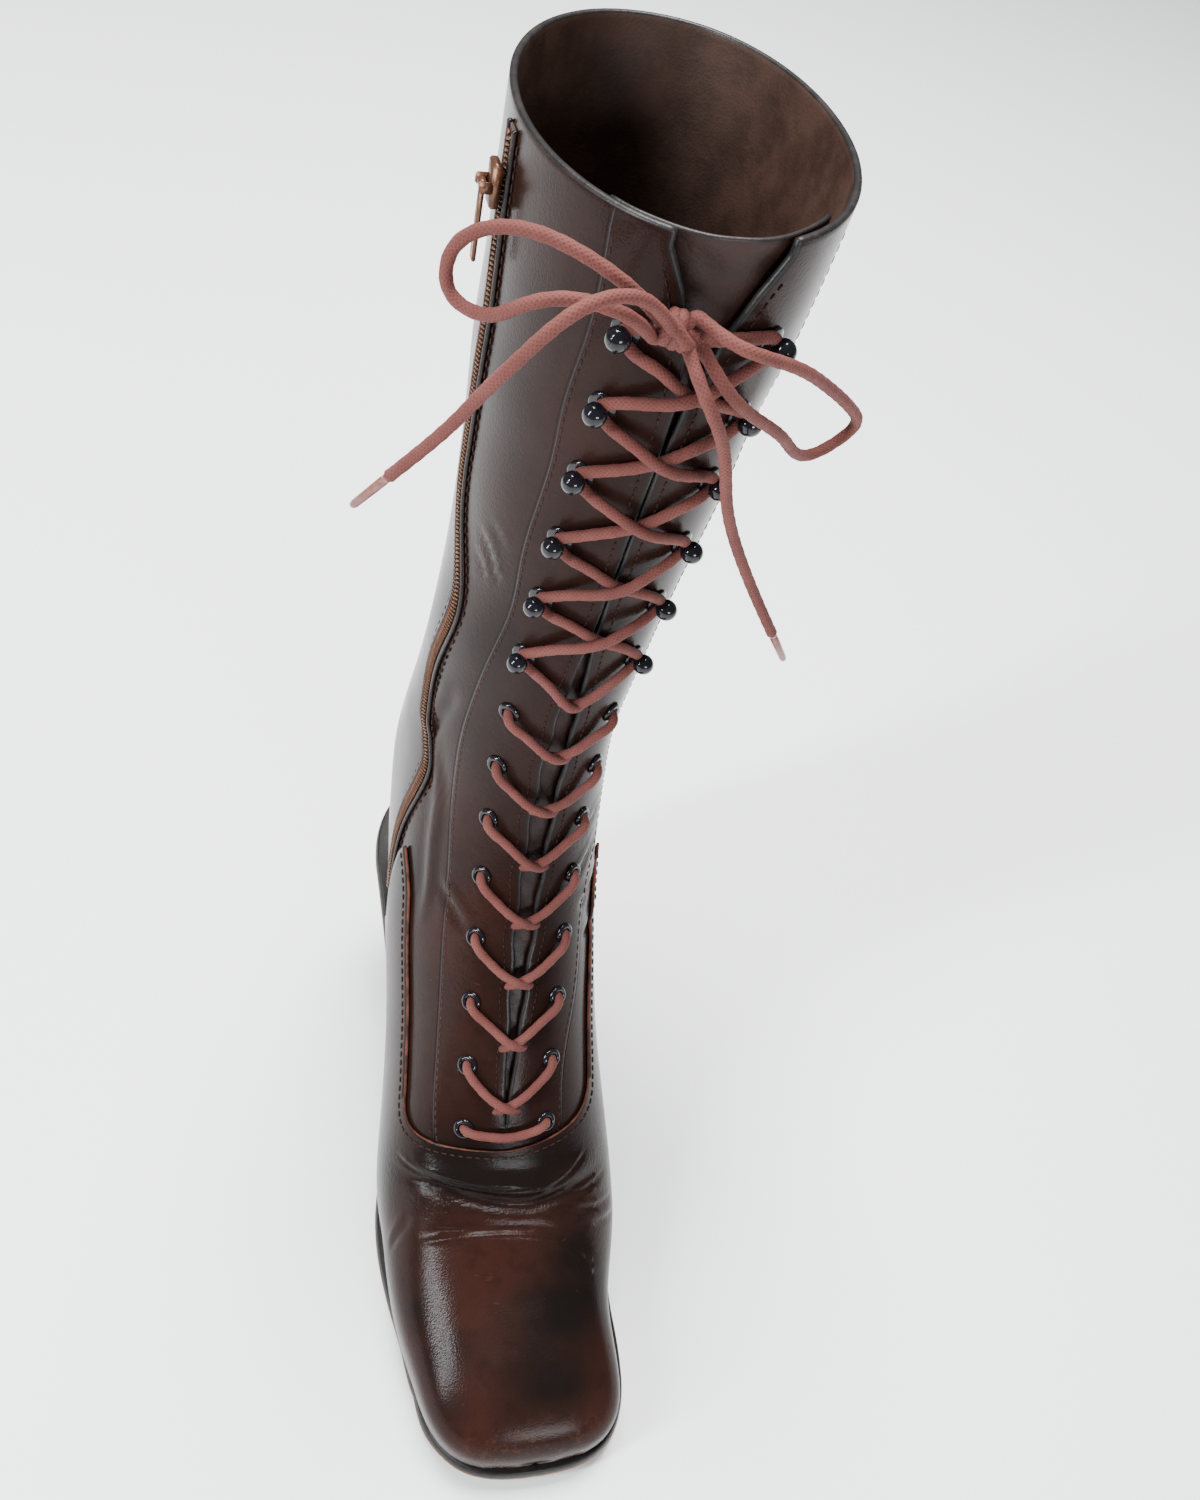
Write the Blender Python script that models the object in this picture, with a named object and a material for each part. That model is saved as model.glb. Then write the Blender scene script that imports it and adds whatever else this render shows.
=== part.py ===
"""Left lace up boot with a zip on the inner side and a block heel.

The boot stands on the floor plane. The toe points to -Y, +X is the little toe side, +Z is up.
The origin is on the floor, in the middle of the heel's top lift.
"""
import math

import bmesh
import bpy
import numpy as np
from mathutils import Matrix, Vector

MM = 0.001

# Driving sizes in millimetres. Tables count y from the sole's tip backwards.
ORIGIN = np.array((-6.5, 213.0, 0.0))
GAP = 0.3
WALL = 2.0
VAMP_THICKNESS = 1.0
VAMP_GAP = 1.04
SOLE_THICKNESS = 4.2
SOLE_EDGE = 3.0
TONGUE_THICKNESS = 1.6
INSOLE_THICKNESS = 1.8
TOP_LIFT = 6.0
FLAT_FROM, FLAT_TO = 56.0, 92.0
LACE_RADIUS = 1.5

# The last, section by section from the toe to the collar. front is the point on top of the foot or
# in front of the leg, back is the point under the foot or behind the leg, inner and outer are half
# widths, widest is the share from front to back where they lie, square_front and square_back say
# how square each half is, x_front and x_back shift the section sideways, tuck narrows its back end.
COLUMNS = ("front_y", "front_z", "back_y", "back_z", "inner", "outer", "widest",
           "square_front", "square_back", "x_front", "x_back", "tuck")
SECTIONS = (
    (30.0, 35.8, 30.0, 6.3, 33.2, 32.2, 0.62, 2.5, 6.0, 2.2, 2.2, 0.02),
    (50.0, 41.2, 50.0, 5.0, 36.4, 34.4, 0.66, 2.35, 6.0, 0.5, 0.5, 0.02),
    (65.0, 48.2, 67.0, 4.5, 38.9, 37.8, 0.70, 2.2, 6.0, -1.0, -0.5, 0.03),
    (78.0, 57.7, 84.0, 4.5, 40.2, 40.6, 0.74, 2.1, 6.0, -2.5, -1.0, 0.04),
    (92.2, 74.6, 104.0, 5.0, 40.2, 42.2, 0.76, 2.0, 5.5, -4.0, -1.5, 0.08),
    (106.5, 90.5, 126.0, 12.0, 37.6, 40.6, 0.74, 1.95, 5.0, -2.3, -2.5, 0.14),
    (120.0, 106.8, 150.0, 28.5, 35.0, 37.8, 0.70, 1.95, 4.5, -0.5, -4.0, 0.20),
    (132.4, 124.0, 176.0, 50.5, 34.2, 36.2, 0.66, 1.95, 4.5, 1.1, -5.2, 0.18),
    (142.5, 142.3, 205.0, 68.8, 34.0, 35.2, 0.62, 1.95, 4.5, 2.7, -6.2, 0.12),
    (149.8, 162.0, 233.0, 77.2, 33.6, 34.4, 0.58, 1.95, 3.0, 4.2, -6.8, 0.06),
    (153.9, 182.6, 246.2, 97.0, 32.4, 33.4, 0.55, 2.0, 2.4, 5.5, -7.0, 0.0),
    (155.2, 203.8, 245.5, 127.0, 31.4, 32.2, 0.52, 2.0, 2.2, 6.7, -6.0, 0.0),
    (154.2, 229.3, 240.5, 168.0, 31.6, 32.2, 0.50, 2.0, 2.1, 8.0, -2.0, 0.0),
    (152.1, 251.0, 242.5, 206.0, 32.8, 33.2, 0.50, 2.0, 2.1, 9.1, 3.0, 0.0),
    (149.2, 272.9, 248.0, 243.0, 34.8, 35.2, 0.50, 2.0, 2.1, 10.1, 8.0, 0.0),
    (146.2, 294.7, 253.5, 278.0, 36.8, 37.2, 0.50, 2.0, 2.1, 11.2, 12.0, 0.0),
    (143.0, 316.5, 258.0, 309.0, 38.6, 39.0, 0.50, 2.0, 2.1, 12.3, 15.0, 0.0),
    (139.7, 338.2, 261.0, 336.0, 39.8, 40.2, 0.50, 2.0, 2.1, 13.4, 17.0, 0.0),
    (136.2, 361.5, 263.0, 361.5, 40.6, 41.0, 0.50, 2.0, 2.1, 14.2, 18.5, 0.0),
)
TOE_TIP = 3.2
TOE_ROW = SECTIONS[0][0]
TOE_SQUARE = 3.2
SOLE_SQUARE = 2.6
TOE_TOP_ROUND = 2.6
TOE_FOOT_ROUND = 5.0
TOE_TIP_HEIGHT = 16.0
TOE_SPRING = 0.03
SEAT_START = 207.0
SEAT_END = 228.0
SEAT_BACK = 239.0
SEAT_ROUND = 2.4

# Places along the front of the last, from the toe, in millimetres of path.
THROAT_START = 103.0
VAMP_DIP = 95.0
VAMP_CORNER = 124.0
VAMP_ROUND = 1.7
# The vamp's rear edge keeps in front of the zip: place along the front, against the share from its
# top line to the sole.
VAMP_END = ((0.0, 199.0), (0.08, 197.0), (0.2, 191.0), (0.31, 184.0), (0.4, 178.0), (1.0, 178.0))
ROW_PLACES = (105.0, 127.0, 148.5, 170.0, 191.0, 212.0, 233.0, 255.0,
              279.0, 301.0, 323.0, 345.0, 366.0, 387.0)
EYELET_ROWS = 8
HALF_CHORDS = (14.0, 14.3, 14.6, 14.9, 15.1, 15.3, 15.5, 15.6,
               16.0, 16.1, 16.2, 16.3, 16.4, 16.6)
# Half of the throat's gap at places along the front.
THROAT_GAP = ((103.0, 0.5), (125.0, 2.0), (168.0, 3.4), (210.0, 4.0), (240.0, 3.8), (262.0, 2.8),
              (285.0, 1.2), (300.0, 0.8), (350.0, 0.8), (370.0, 1.6), (388.0, 4.5), (400.0, 9.0),
              (411.4, 15.0))
# Half width of the opening under the foot, as a share of the half width, against y.
FOOT_OPENING = ((12.0, 0.40), (18.0, 0.60), (26.0, 0.68), (60.0, 0.74), (110.0, 0.72),
                (170.0, 0.62), (205.0, 0.60), (222.0, 0.45), (226.0, 0.36))
# The same for the insole.
INSOLE_SPREAD = ((10.0, 0.30), (11.5, 0.45), (14.0, 0.58), (18.0, 0.70), (26.0, 0.76), (60.0, 0.78),
                 (205.0, 0.70), (217.0, 0.60), (224.0, 0.42), (227.0, 0.25))
# The zip's route on the inner side: place along the front, angle round the section in degrees.
ZIP_ROUTE = ((409.0, -82.0), (380.0, -81.0), (354.0, -81.0), (320.0, -84.0), (303.0, -79.0),
             (290.0, -74.0), (274.0, -79.0), (256.0, -77.0), (240.0, -70.0), (228.0, -67.0),
             (214.0, -74.0), (199.0, -85.0), (185.0, -96.0))
ZIP_HALF_WIDTH = 2.6
ZIP_THICKNESS = 1.2
SLIDER_PLACE = 396.0

# The bow: knot, loops and hanging ends.
KNOT_PLACE = 394.0
KNOT_ANGLE = -11.0
KNOT_SIZE = (4.6, 3.7, 3.9)
KNOT_HEIGHT = 4.5
LOOP_INNER = ((-0.3, 135.0, 346.0), (-8.0, 134.0, 352.5), (-17.0, 136.0, 357.0),
              (-28.5, 142.0, 358.5), (-38.0, 148.0, 354.0), (-42.0, 150.5, 347.0), (-41.5, 149.5, 340.5),
              (-36.0, 143.5, 339.0), (-28.5, 134.5, 346.5), (-21.0, 130.0, 351.0),
              (-11.0, 128.5, 350.0), (-0.9, 134.8, 341.6))
LOOP_OUTER = ((9.9, 135.0, 345.4), (15.5, 129.5, 344.0), (29.0, 131.5, 339.0), (45.0, 142.0, 328.0),
              (60.0, 153.5, 314.5), (64.5, 159.0, 305.5), (58.5, 158.5, 299.5),
              (41.5, 146.0, 310.0), (25.5, 134.0, 324.5), (15.8, 130.0, 334.0),
              (9.9, 135.4, 340.6))
END_INNER = ((2.3, 132.2, 345.2), (-8.0, 127.0, 354.0), (-17.5, 123.5, 354.0), (-24.5, 123.5, 348.0),
             (-30.0, 125.5, 339.5), (-35.0, 129.0, 330.0), (-40.0, 133.5, 319.0),
             (-46.0, 138.0, 308.0), (-52.0, 141.0, 299.0))
END_OUTER = ((7.1, 132.4, 340.2), (10.5, 126.5, 334.0), (17.5, 127.0, 322.5), (25.0, 132.0, 303.0),
             (34.0, 138.0, 284.0), (44.5, 142.0, 266.0), (55.5, 145.0, 248.5))
AGLET_LENGTH = 15.0
AGLET_RADIUS = 1.15


def clamped(value):
    return np.clip(value, 0.0, 1.0)


def spline_through(places, values):
    """A cubic spline through rows of values, without bending at its ends."""
    t = np.asarray(places, float)
    y = np.asarray(values, float)
    n = len(t)
    h = np.diff(t)
    matrix = np.zeros((n, n))
    side = np.zeros_like(y)
    matrix[0, 0] = matrix[-1, -1] = 1.0
    for i in range(1, n - 1):
        matrix[i, i - 1:i + 2] = h[i - 1], 2 * (h[i - 1] + h[i]), h[i]
        side[i] = 6 * ((y[i + 1] - y[i]) / h[i] - (y[i] - y[i - 1]) / h[i - 1])
    bend = np.linalg.solve(matrix, side)

    def at(q):
        q = np.asarray(q, float).ravel()
        i = np.clip(np.searchsorted(t, q) - 1, 0, n - 2)
        left = ((t[i + 1] - q) / h[i])[:, None]
        right = ((q - t[i]) / h[i])[:, None]
        curl = (h[i] ** 2)[:, None] / 6
        return (left * y[i] + right * y[i + 1]
                + ((left ** 3 - left) * bend[i] + (right ** 3 - right) * bend[i + 1]) * curl)
    return at


TABLE = np.array(SECTIONS)
PLACES = TOE_ROW + np.concatenate(
    [[0.0], np.cumsum(np.hypot(np.diff(TABLE[:, 0]), np.diff(TABLE[:, 1])))])
SECTION_AT = spline_through(PLACES, TABLE)
COLLAR = PLACES[-1]
START = TOE_TIP + 0.05


def section(v):
    """The section's numbers at each place v along the front."""
    v = np.asarray(v, float)
    rows = SECTION_AT(np.maximum(v, TOE_ROW)).reshape(v.shape + (len(COLUMNS),))
    row = {name: rows[..., i] for i, name in enumerate(COLUMNS)}
    first, second = SECTION_AT([TOE_ROW, TOE_ROW + 4.0])
    slope = dict(zip(COLUMNS, (second - first) / 4.0))
    short = np.maximum(TOE_ROW - v, 0.0)
    share = clamped((v - TOE_TIP) / (TOE_ROW - TOE_TIP))
    plan = (1 - (1 - share) ** TOE_SQUARE) ** (1 / TOE_SQUARE)
    for name in ("inner", "outer"):
        row[name] = (row[name] - slope[name] * short) * plan
    for name in ("x_front", "x_back"):
        row[name] = row[name] - slope[name] * short
    for name in ("front_y", "back_y"):
        row[name] = np.where(short > 0, v, row[name])
    high = row["front_z"] - slope["front_z"] * short
    low = row["back_z"] + TOE_SPRING * short ** 1.5
    top_rise = (1 - (1 - share) ** TOE_TOP_ROUND) ** (1 / TOE_TOP_ROUND)
    foot_rise = (1 - (1 - share) ** TOE_FOOT_ROUND) ** (1 / TOE_FOOT_ROUND)
    row["front_z"] = TOE_TIP_HEIGHT + (high - TOE_TIP_HEIGHT) * top_rise
    row["back_z"] = TOE_TIP_HEIGHT + (low - TOE_TIP_HEIGHT) * foot_rise
    return row


def last_point(v, u):
    """Points of the last; u is 0 in front and +-pi at the back, positive on the outer side."""
    v, u = np.broadcast_arrays(np.asarray(v, float), np.asarray(u, float))
    row = section(v)
    front = np.cos(u) >= 0.0
    power = np.where(front, row["square_front"], row["square_back"])
    sine = np.abs(np.sin(u))
    cosine = np.abs(np.cos(u))
    reach = (sine ** power + cosine ** power) ** (1 / power)
    sine = sine / reach
    cosine = cosine / reach
    widest = row["widest"]
    along = np.where(front, widest * (1 - cosine), widest + (1 - widest) * cosine)
    narrow = 1 - row["tuck"] * np.where(front, 0.0, cosine) ** 1.5
    half = np.where(np.sin(u) >= 0.0, row["outer"], -row["inner"]) * narrow
    x = row["x_front"] + (row["x_back"] - row["x_front"]) * along + half * sine
    y = row["front_y"] + (row["back_y"] - row["front_y"]) * along
    z = row["front_z"] + (row["back_z"] - row["front_z"]) * along
    return np.stack([x, y, z], -1)


def last_frame(v, u):
    """Point, direction up the last, direction round it and outward normal."""
    step_v, step_u = 0.4, 0.01
    low = np.maximum(np.asarray(v, float) - step_v, START - 0.04)
    up = last_point(np.asarray(v, float) + step_v, u) - last_point(low, u)
    round_it = last_point(v, np.asarray(u) + step_u) - last_point(v, np.asarray(u) - step_u)
    normal = np.cross(round_it, up)
    up = up / np.linalg.norm(up, axis=-1, keepdims=True)
    normal = normal / np.linalg.norm(normal, axis=-1, keepdims=True)
    return last_point(v, u), up, np.cross(up, normal), normal


def over_last(v, u, height):
    """Points at a height over the last's surface, below it where the height is negative."""
    point, _, _, normal = last_frame(v, u)
    return point + normal * height


# The line under the foot, for the sole and insole.
_foot = last_point(np.linspace(TOE_ROW, PLACES[10], 400), math.pi)


def foot_line(y):
    """Height of the last's underside at y; behind the seat it runs on straight."""
    y = np.asarray(y, float)
    inside = np.interp(y, _foot[:, 1], _foot[:, 2])
    at_end, before = np.interp((SEAT_END, SEAT_END - 8.0), _foot[:, 1], _foot[:, 2])
    behind = at_end + (at_end - before) / 8.0 * (y - SEAT_END)
    height = np.where(y > SEAT_END, behind, inside)
    return height + TOE_SPRING * np.maximum(TOE_ROW - y, 0.0) ** 1.5


_places = np.linspace(TOE_ROW, PLACES[10], 400)
_rows = section(_places)


def foot_sides(y, margin):
    """Inner and outer x of the last's underside at y, widened by a margin."""
    y = np.asarray(y, float)
    v = np.interp(np.minimum(y, SEAT_START), _rows["back_y"], _places)
    row = section(v)
    middle = row["x_back"]
    ends = [middle - row["inner"] * (1 - row["tuck"]) - margin,
            middle + row["outer"] * (1 - row["tuck"]) + margin]
    toe = clamped((y + margin - SOLE_EDGE) / TOE_ROW)
    plan = (1 - (1 - toe) ** SOLE_SQUARE) ** (1 / SOLE_SQUARE)
    heel = clamped((y - SEAT_START) / (SEAT_BACK + margin - SEAT_START))
    plan = plan * (1 - heel ** SEAT_ROUND) ** (1 / SEAT_ROUND)
    return [middle + (end - middle) * plan for end in ends]


def world(points):
    return (np.asarray(points, float) - ORIGIN) * MM


def new_material(name, colour, roughness, metallic=0.0):
    material = bpy.data.materials.new(name)
    material.use_nodes = True
    shader = material.node_tree.nodes["Principled BSDF"]
    shader.inputs["Base Color"].default_value = (*colour, 1.0)
    shader.inputs["Roughness"].default_value = roughness
    shader.inputs["Metallic"].default_value = metallic
    return material


def add_object(name, data, material):
    item = bpy.data.objects.new(name, data)
    if not data.materials:
        data.materials.append(material)
    bpy.context.scene.collection.objects.link(item)
    return item


def mesh_from(name, points, faces):
    """A mesh with its faces pointing out, from points in metres."""
    mesh = bpy.data.meshes.new(name)
    form = bmesh.new()
    corners = [form.verts.new(p) for p in points]
    for face in faces:
        form.faces.new([corners[i] for i in face])
    loose = [corner for corner in form.verts if not corner.link_faces]
    bmesh.ops.delete(form, geom=loose, context="VERTS")
    bmesh.ops.recalc_face_normals(form, faces=form.faces)
    form.to_mesh(mesh)
    form.free()
    mesh.shade_smooth()
    mesh.set_sharp_from_angle(angle=math.radians(40.0))
    return mesh


def thick_sheet(name, outside, inside, faces, material):
    """A closed solid between two sheets of points that share their faces."""
    count = len(outside)
    edges = {(face[i - 1], face[i]) for face in faces for i in range(len(face))}
    rim = [(b, a, a + count, b + count) for a, b in sorted(edges) if (b, a) not in edges]
    back = [tuple(i + count for i in reversed(face)) for face in faces]
    points = world(np.concatenate([outside, inside]))
    return add_object(name, mesh_from(name, points, list(faces) + back + rim), material)


def grid_faces(rows, columns, keep, wrap=False):
    """Quads of a grid where keep(row, column) holds."""
    faces = []
    for i in range(rows - 1):
        for j in range(columns if wrap else columns - 1):
            if keep(i, j):
                k = (j + 1) % columns
                faces.append((i * columns + j, i * columns + k,
                              (i + 1) * columns + k, (i + 1) * columns + j))
    return faces


def gap_angle(v):
    """Angle of the throat's edge, from half of its gap."""
    half = np.interp(v, *zip(*THROAT_GAP))
    return np.arcsin(np.minimum(half / np.maximum(section(v)["inner"], 1.0), 0.34))


def opening_angle(v):
    """Angle from the back to the edge of the opening under the foot."""
    return np.arctan(np.interp(section(v)["back_y"], *zip(*FOOT_OPENING)))


TOE_PLACES = (START, 4.0, 6.0, 9.5, 14.0, 21.0, 30.0, 42.0, 55.0, 68.0, 81.0, 93.0)
SIDE_SHARES = (0.0, 0.1, 0.21, 0.33, 0.45, 0.57, 0.69, 0.8, 0.9, 1.0)


def make_upper(material):
    """The hollow body: open at the throat and collar, and under the foot where the insole lies."""
    places = np.concatenate([TOE_PLACES, [THROAT_START], np.linspace(115.0, COLLAR, 22)])
    shares = np.array(SIDE_SHARES)
    v = places[:, None]
    front = gap_angle(places)[:, None]
    edge = math.pi - opening_angle(places)[:, None]
    side = front + (edge - front) * shares
    under = edge + (math.pi - edge) * np.array([0.5])
    u = np.concatenate([np.full_like(v, math.pi), -under, -side[:, ::-1], side, under], 1)
    v = np.broadcast_to(v, u.shape)
    columns = u.shape[1]
    slit = 1 + len(shares)
    back_y = section(places)["back_y"]
    first, last = FOOT_OPENING[0][0], FOOT_OPENING[-1][0]

    def keep(i, j):
        if j == slit and places[i] >= THROAT_START:
            return False
        below = j < 2 or j >= columns - 2
        return not (below and back_y[i] >= first - 1.5 and back_y[i + 1] <= last + 1.5)

    faces = grid_faces(len(places), columns, keep, wrap=True)
    faces.append(tuple(reversed(range(columns))))
    outside = over_last(v, u, 0.0).reshape(-1, 3)
    inside = over_last(v, u, -WALL).reshape(-1, 3)
    return thick_sheet("upper", outside, inside, faces, material)


def vamp_foot_angle(v):
    """Angle at which the vamp's outer face comes down to the sole."""
    angles = np.radians(np.linspace(95.0, 165.0, 71))
    edge = np.empty((len(v), 2))
    for i, place in enumerate(v):
        for k, side in enumerate((-1.0, 1.0)):
            points = over_last(place, side * angles, VAMP_GAP + VAMP_THICKNESS)
            clear = points[:, 2] - foot_line(points[:, 1]) > 0.25
            stop = np.argmin(clear) if not clear.all() else len(angles)
            edge[i, k] = angles[max(stop - 1, 0)]
    return edge


VAMP_LINES = (((124.0, 58.0), (140.0, 62.0), (162.0, 66.0), (184.0, 68.5), (200.0, 73.0)),
              ((124.0, 47.0), (140.0, 49.0), (162.0, 53.0), (184.0, 57.0), (200.0, 62.0)))


def make_vamp(material):
    """The lower leather over the body: a U below the throat, with a wing along each side."""
    toe = np.array(TOE_PLACES[:9])
    steps = np.concatenate([clamped((toe - START) / (VAMP_CORNER - START)), (0.6, 0.74, 0.87, 1.0)])
    wing_steps = np.linspace(0.0, 1.0, 6)[1:]
    across = np.array((0.0, 0.22, 0.44, 0.64, 0.81, 0.94, 1.0))
    down = np.linspace(0.0, 1.0, 8)[1:]
    half = len(across) + len(down)
    rows = len(steps) + len(wing_steps)
    v = np.zeros((rows, 2, half))
    u = np.zeros((rows, 2, half))
    for k in range(2):
        line = np.array(VAMP_LINES[k])
        corner = math.radians(line[0, 1])
        dip = VAMP_CORNER - (VAMP_CORNER - VAMP_DIP) * (1 - across ** VAMP_ROUND) ** (1 / VAMP_ROUND)
        places = START + (VAMP_CORNER - START) * steps
        foot = vamp_foot_angle(places)[:, k:k + 1]
        front = len(across)
        v[:len(steps), k, :front] = START + (dip - START) * steps[:, None]
        v[:len(steps), k, front:] = places[:, None]
        u[:len(steps), k, :front] = corner * across
        u[:len(steps), k, front:] = corner + (foot - corner) * down
        shares = np.concatenate([np.zeros(front), down])
        end = np.interp(shares, *zip(*VAMP_END))
        wing = VAMP_CORNER + (end - VAMP_CORNER) * wing_steps[:, None]
        foot = np.array([vamp_foot_angle(row)[:, k] for row in wing])
        top = np.radians(np.interp(wing, line[:, 0], line[:, 1]))
        v[len(steps):, k] = wing
        u[len(steps):, k] = top + (foot - top) * shares
    v_all = np.concatenate([v[:, 0, :0:-1], v[:, 1]], 1)
    u_all = np.concatenate([-u[:, 0, :0:-1], u[:, 1]], 1)
    columns = u_all.shape[1]
    wing_edge = len(down)

    def keep(i, j):
        return i < len(steps) - 1 or j < wing_edge or j >= columns - 1 - wing_edge

    faces = grid_faces(rows, columns, keep)
    faces.append(tuple(reversed(range(columns))))
    outside = over_last(v_all, u_all, VAMP_GAP + VAMP_THICKNESS).reshape(-1, 3)
    inside = over_last(v_all, u_all, VAMP_GAP).reshape(-1, 3)
    return thick_sheet("vamp", outside, inside, faces, material)


def make_tongue(material):
    """A strip behind the throat, from below the first row to the collar."""
    places = np.linspace(90.0, COLLAR - 1.0, 22)
    angles = np.radians(np.linspace(-42.0, 42.0, 7))
    v, u = np.meshgrid(places, angles, indexing="ij")
    faces = grid_faces(len(places), len(angles), lambda i, j: True)
    top = -(WALL + GAP + 0.64)
    outside = over_last(v, u, top).reshape(-1, 3)
    inside = over_last(v, u, top - TONGUE_THICKNESS).reshape(-1, 3)
    return thick_sheet("tongue", outside, inside, faces, material)


def flat_sheet(name, y, sides, top, bottom, material):
    """A slab across the foot, with straight lines from side to side."""
    inner, outer = sides
    upper_face = np.stack([np.stack([inner, y, top], -1), np.stack([outer, y, top], -1)], 1)
    lower_face = np.stack([np.stack([inner, y, bottom], -1), np.stack([outer, y, bottom], -1)], 1)
    faces = grid_faces(len(y), 2, lambda i, j: True)
    return thick_sheet(name, upper_face.reshape(-1, 3), lower_face.reshape(-1, 3), faces, material)


def sole_underside(y):
    """The floor side of the sole, with one flat stretch under the ball of the foot."""
    y = np.asarray(y, float)
    height = foot_line(y) - GAP - SOLE_THICKNESS
    return np.where((y >= FLAT_FROM) & (y <= FLAT_TO), 0.0, np.maximum(height, 0.0))


def make_outsole(material):
    y = np.concatenate([(0.02, 0.6, 1.8, 3.6, 6.0, 9.5, 14.0, 20.0, 27.0, 36.0, 46.0, 56.0, 74.0, 92.0),
                        np.linspace(101.0, 206.0, 13),
                        (214.0, 221.0, 227.0, 232.0, 236.0, 239.0, 240.8, 241.7, 241.97)])
    sides = foot_sides(y, SOLE_EDGE)
    return flat_sheet("outsole", y, sides, foot_line(y) - GAP, sole_underside(y), material)


def make_insole(material):
    """The board that closes the opening under the foot, laid on the turned in edge of the upper."""
    y = np.concatenate([(10.0, 11.5, 14.0, 18.0, 26.0), np.linspace(36.0, 206.0, 11),
                        (212.0, 218.0, 223.0, 227.0)])
    v = np.where(y < TOE_ROW, y, np.interp(y, _rows["back_y"], _places))[:, None]
    spread = np.arctan(np.interp(y, *zip(*INSOLE_SPREAD)))[:, None]
    u = math.pi + spread * np.linspace(-1.0, 1.0, 7)
    faces = grid_faces(len(y), u.shape[1], lambda i, j: True)
    low = -(WALL + GAP + 0.66)
    outside = over_last(v, u, low).reshape(-1, 3)
    inside = over_last(v, u, low - INSOLE_THICKNESS).reshape(-1, 3)
    return thick_sheet("insole", outside, inside, faces, material)


HEEL_LEVELS = 6
HEEL_FOOT = dict(front=191.0, back=236.0, inner=-28.5, outer=15.5)
HEEL_BREAST = 184.0


def heel_outline(level):
    """The heel's outline at a level from 0, the top lift, to 1, the sole."""
    bend = level ** 1.7
    front = HEEL_FOOT["front"] + (HEEL_BREAST - HEEL_FOOT["front"]) * bend
    back = HEEL_FOOT["back"] + (SEAT_BACK + SOLE_EDGE - 1.2 - HEEL_FOOT["back"]) * bend
    shares = np.concatenate([(0.0, 0.3, 0.5), 0.5 + 0.5 * np.sin(np.linspace(0.2, math.pi / 2, 8))])
    y = front + (back - front) * shares
    round_off = (1 - clamped((shares - 0.45) / 0.55) ** 2.4) ** (1 / 2.4)
    top_inner, top_outer = foot_sides(np.array([195.0]), SOLE_EDGE - 1.2)
    inner = HEEL_FOOT["inner"] + (top_inner - HEEL_FOOT["inner"]) * bend
    outer = HEEL_FOOT["outer"] + (top_outer - HEEL_FOOT["outer"]) * bend
    middle = (inner + outer) / 2
    left = np.stack([middle + (inner - middle) * round_off, y], -1)
    right = np.stack([middle + (outer - middle) * round_off, y], -1)[-2::-1]
    return np.concatenate([left, right])


def make_heel_block(material):
    """A block that tapers from the sole to the top lift."""
    levels = np.linspace(0.0, 1.0, HEEL_LEVELS)
    rings = []
    for level in levels:
        ring = heel_outline(level)
        low = TOP_LIFT + GAP
        top = sole_underside(ring[:, 1]) - GAP
        rings.append(np.column_stack([ring, low + (top - low) * level]))
    count = len(rings[0])
    faces = grid_faces(HEEL_LEVELS, count, lambda i, j: True, wrap=True)
    faces.append(tuple(reversed(range(count))))
    rows = [count - 1 - i for i in range(count)]
    start = (HEEL_LEVELS - 1) * count
    half = count // 2
    for i in range(half - 1):
        faces.append((start + i, start + i + 1, start + rows[i + 1], start + rows[i]))
    faces.append((start + half - 1, start + half, start + rows[half - 1]))
    mesh = mesh_from("heel_block", world(np.concatenate(rings)), faces)
    return add_object("heel_block", mesh, material)


def make_top_lift(material):
    ring = heel_outline(0.0)
    count = len(ring)
    rings = [np.column_stack([ring, np.full(count, z)]) for z in (0.0, TOP_LIFT)]
    faces = grid_faces(2, count, lambda i, j: True, wrap=True)
    faces += [tuple(reversed(range(count))), tuple(range(count, 2 * count))]
    mesh = mesh_from("heel_top_lift", world(np.concatenate(rings)), faces)
    return add_object("heel_top_lift", mesh, material)


def seat_matrix(v, u, height):
    """A matrix at the last's surface: x round it, y up it, z outward."""
    point, up, round_it, normal = last_frame(float(v), float(u))
    place = Matrix(np.column_stack([round_it, up, normal]).tolist()).to_4x4()
    place.translation = Vector(world(point + normal * height))
    return place


def turned_mesh(name, profile, sides, closed):
    """A turned solid round z; a closed profile makes a ring, an open one starts and ends on z."""
    rings = [p for p in profile if closed or p[0] > 0]
    points = []
    for radius, height in rings:
        for k in range(sides):
            turn = 2 * math.pi * k / sides
            points.append((radius * math.cos(turn) * MM, radius * math.sin(turn) * MM, height * MM))
    count = len(rings)
    faces = []
    for i in range(count if closed else count - 1):
        for k in range(sides):
            a, b = i * sides, (i + 1) % count * sides
            n = (k + 1) % sides
            faces.append((a + k, a + n, b + n, b + k))
    if not closed:
        faces.append(tuple(range(sides)))
        faces.append(tuple(range((count - 1) * sides, count * sides)))
    return mesh_from(name, points, faces)


def row_angle(row, side):
    v = ROW_PLACES[row]
    half = float(section(np.array(v))["outer" if side > 0 else "inner"])
    return side * math.asin(HALF_CHORDS[row] / half)


EYELET_PROFILE = ((1.75, 0.0), (3.4, 0.0), (2.9, 1.0), (1.85, 0.8))
HOOK_PROFILE = ((3.5, 0.0), (3.5, 0.6), (1.1, 1.0), (1.1, 2.0), (2.95, 3.4), (2.85, 5.7), (1.1, 7.2))
HOLE_RADIUS = 1.5
SIDES = ((-1, "inner"), (1, "outer"))


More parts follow.
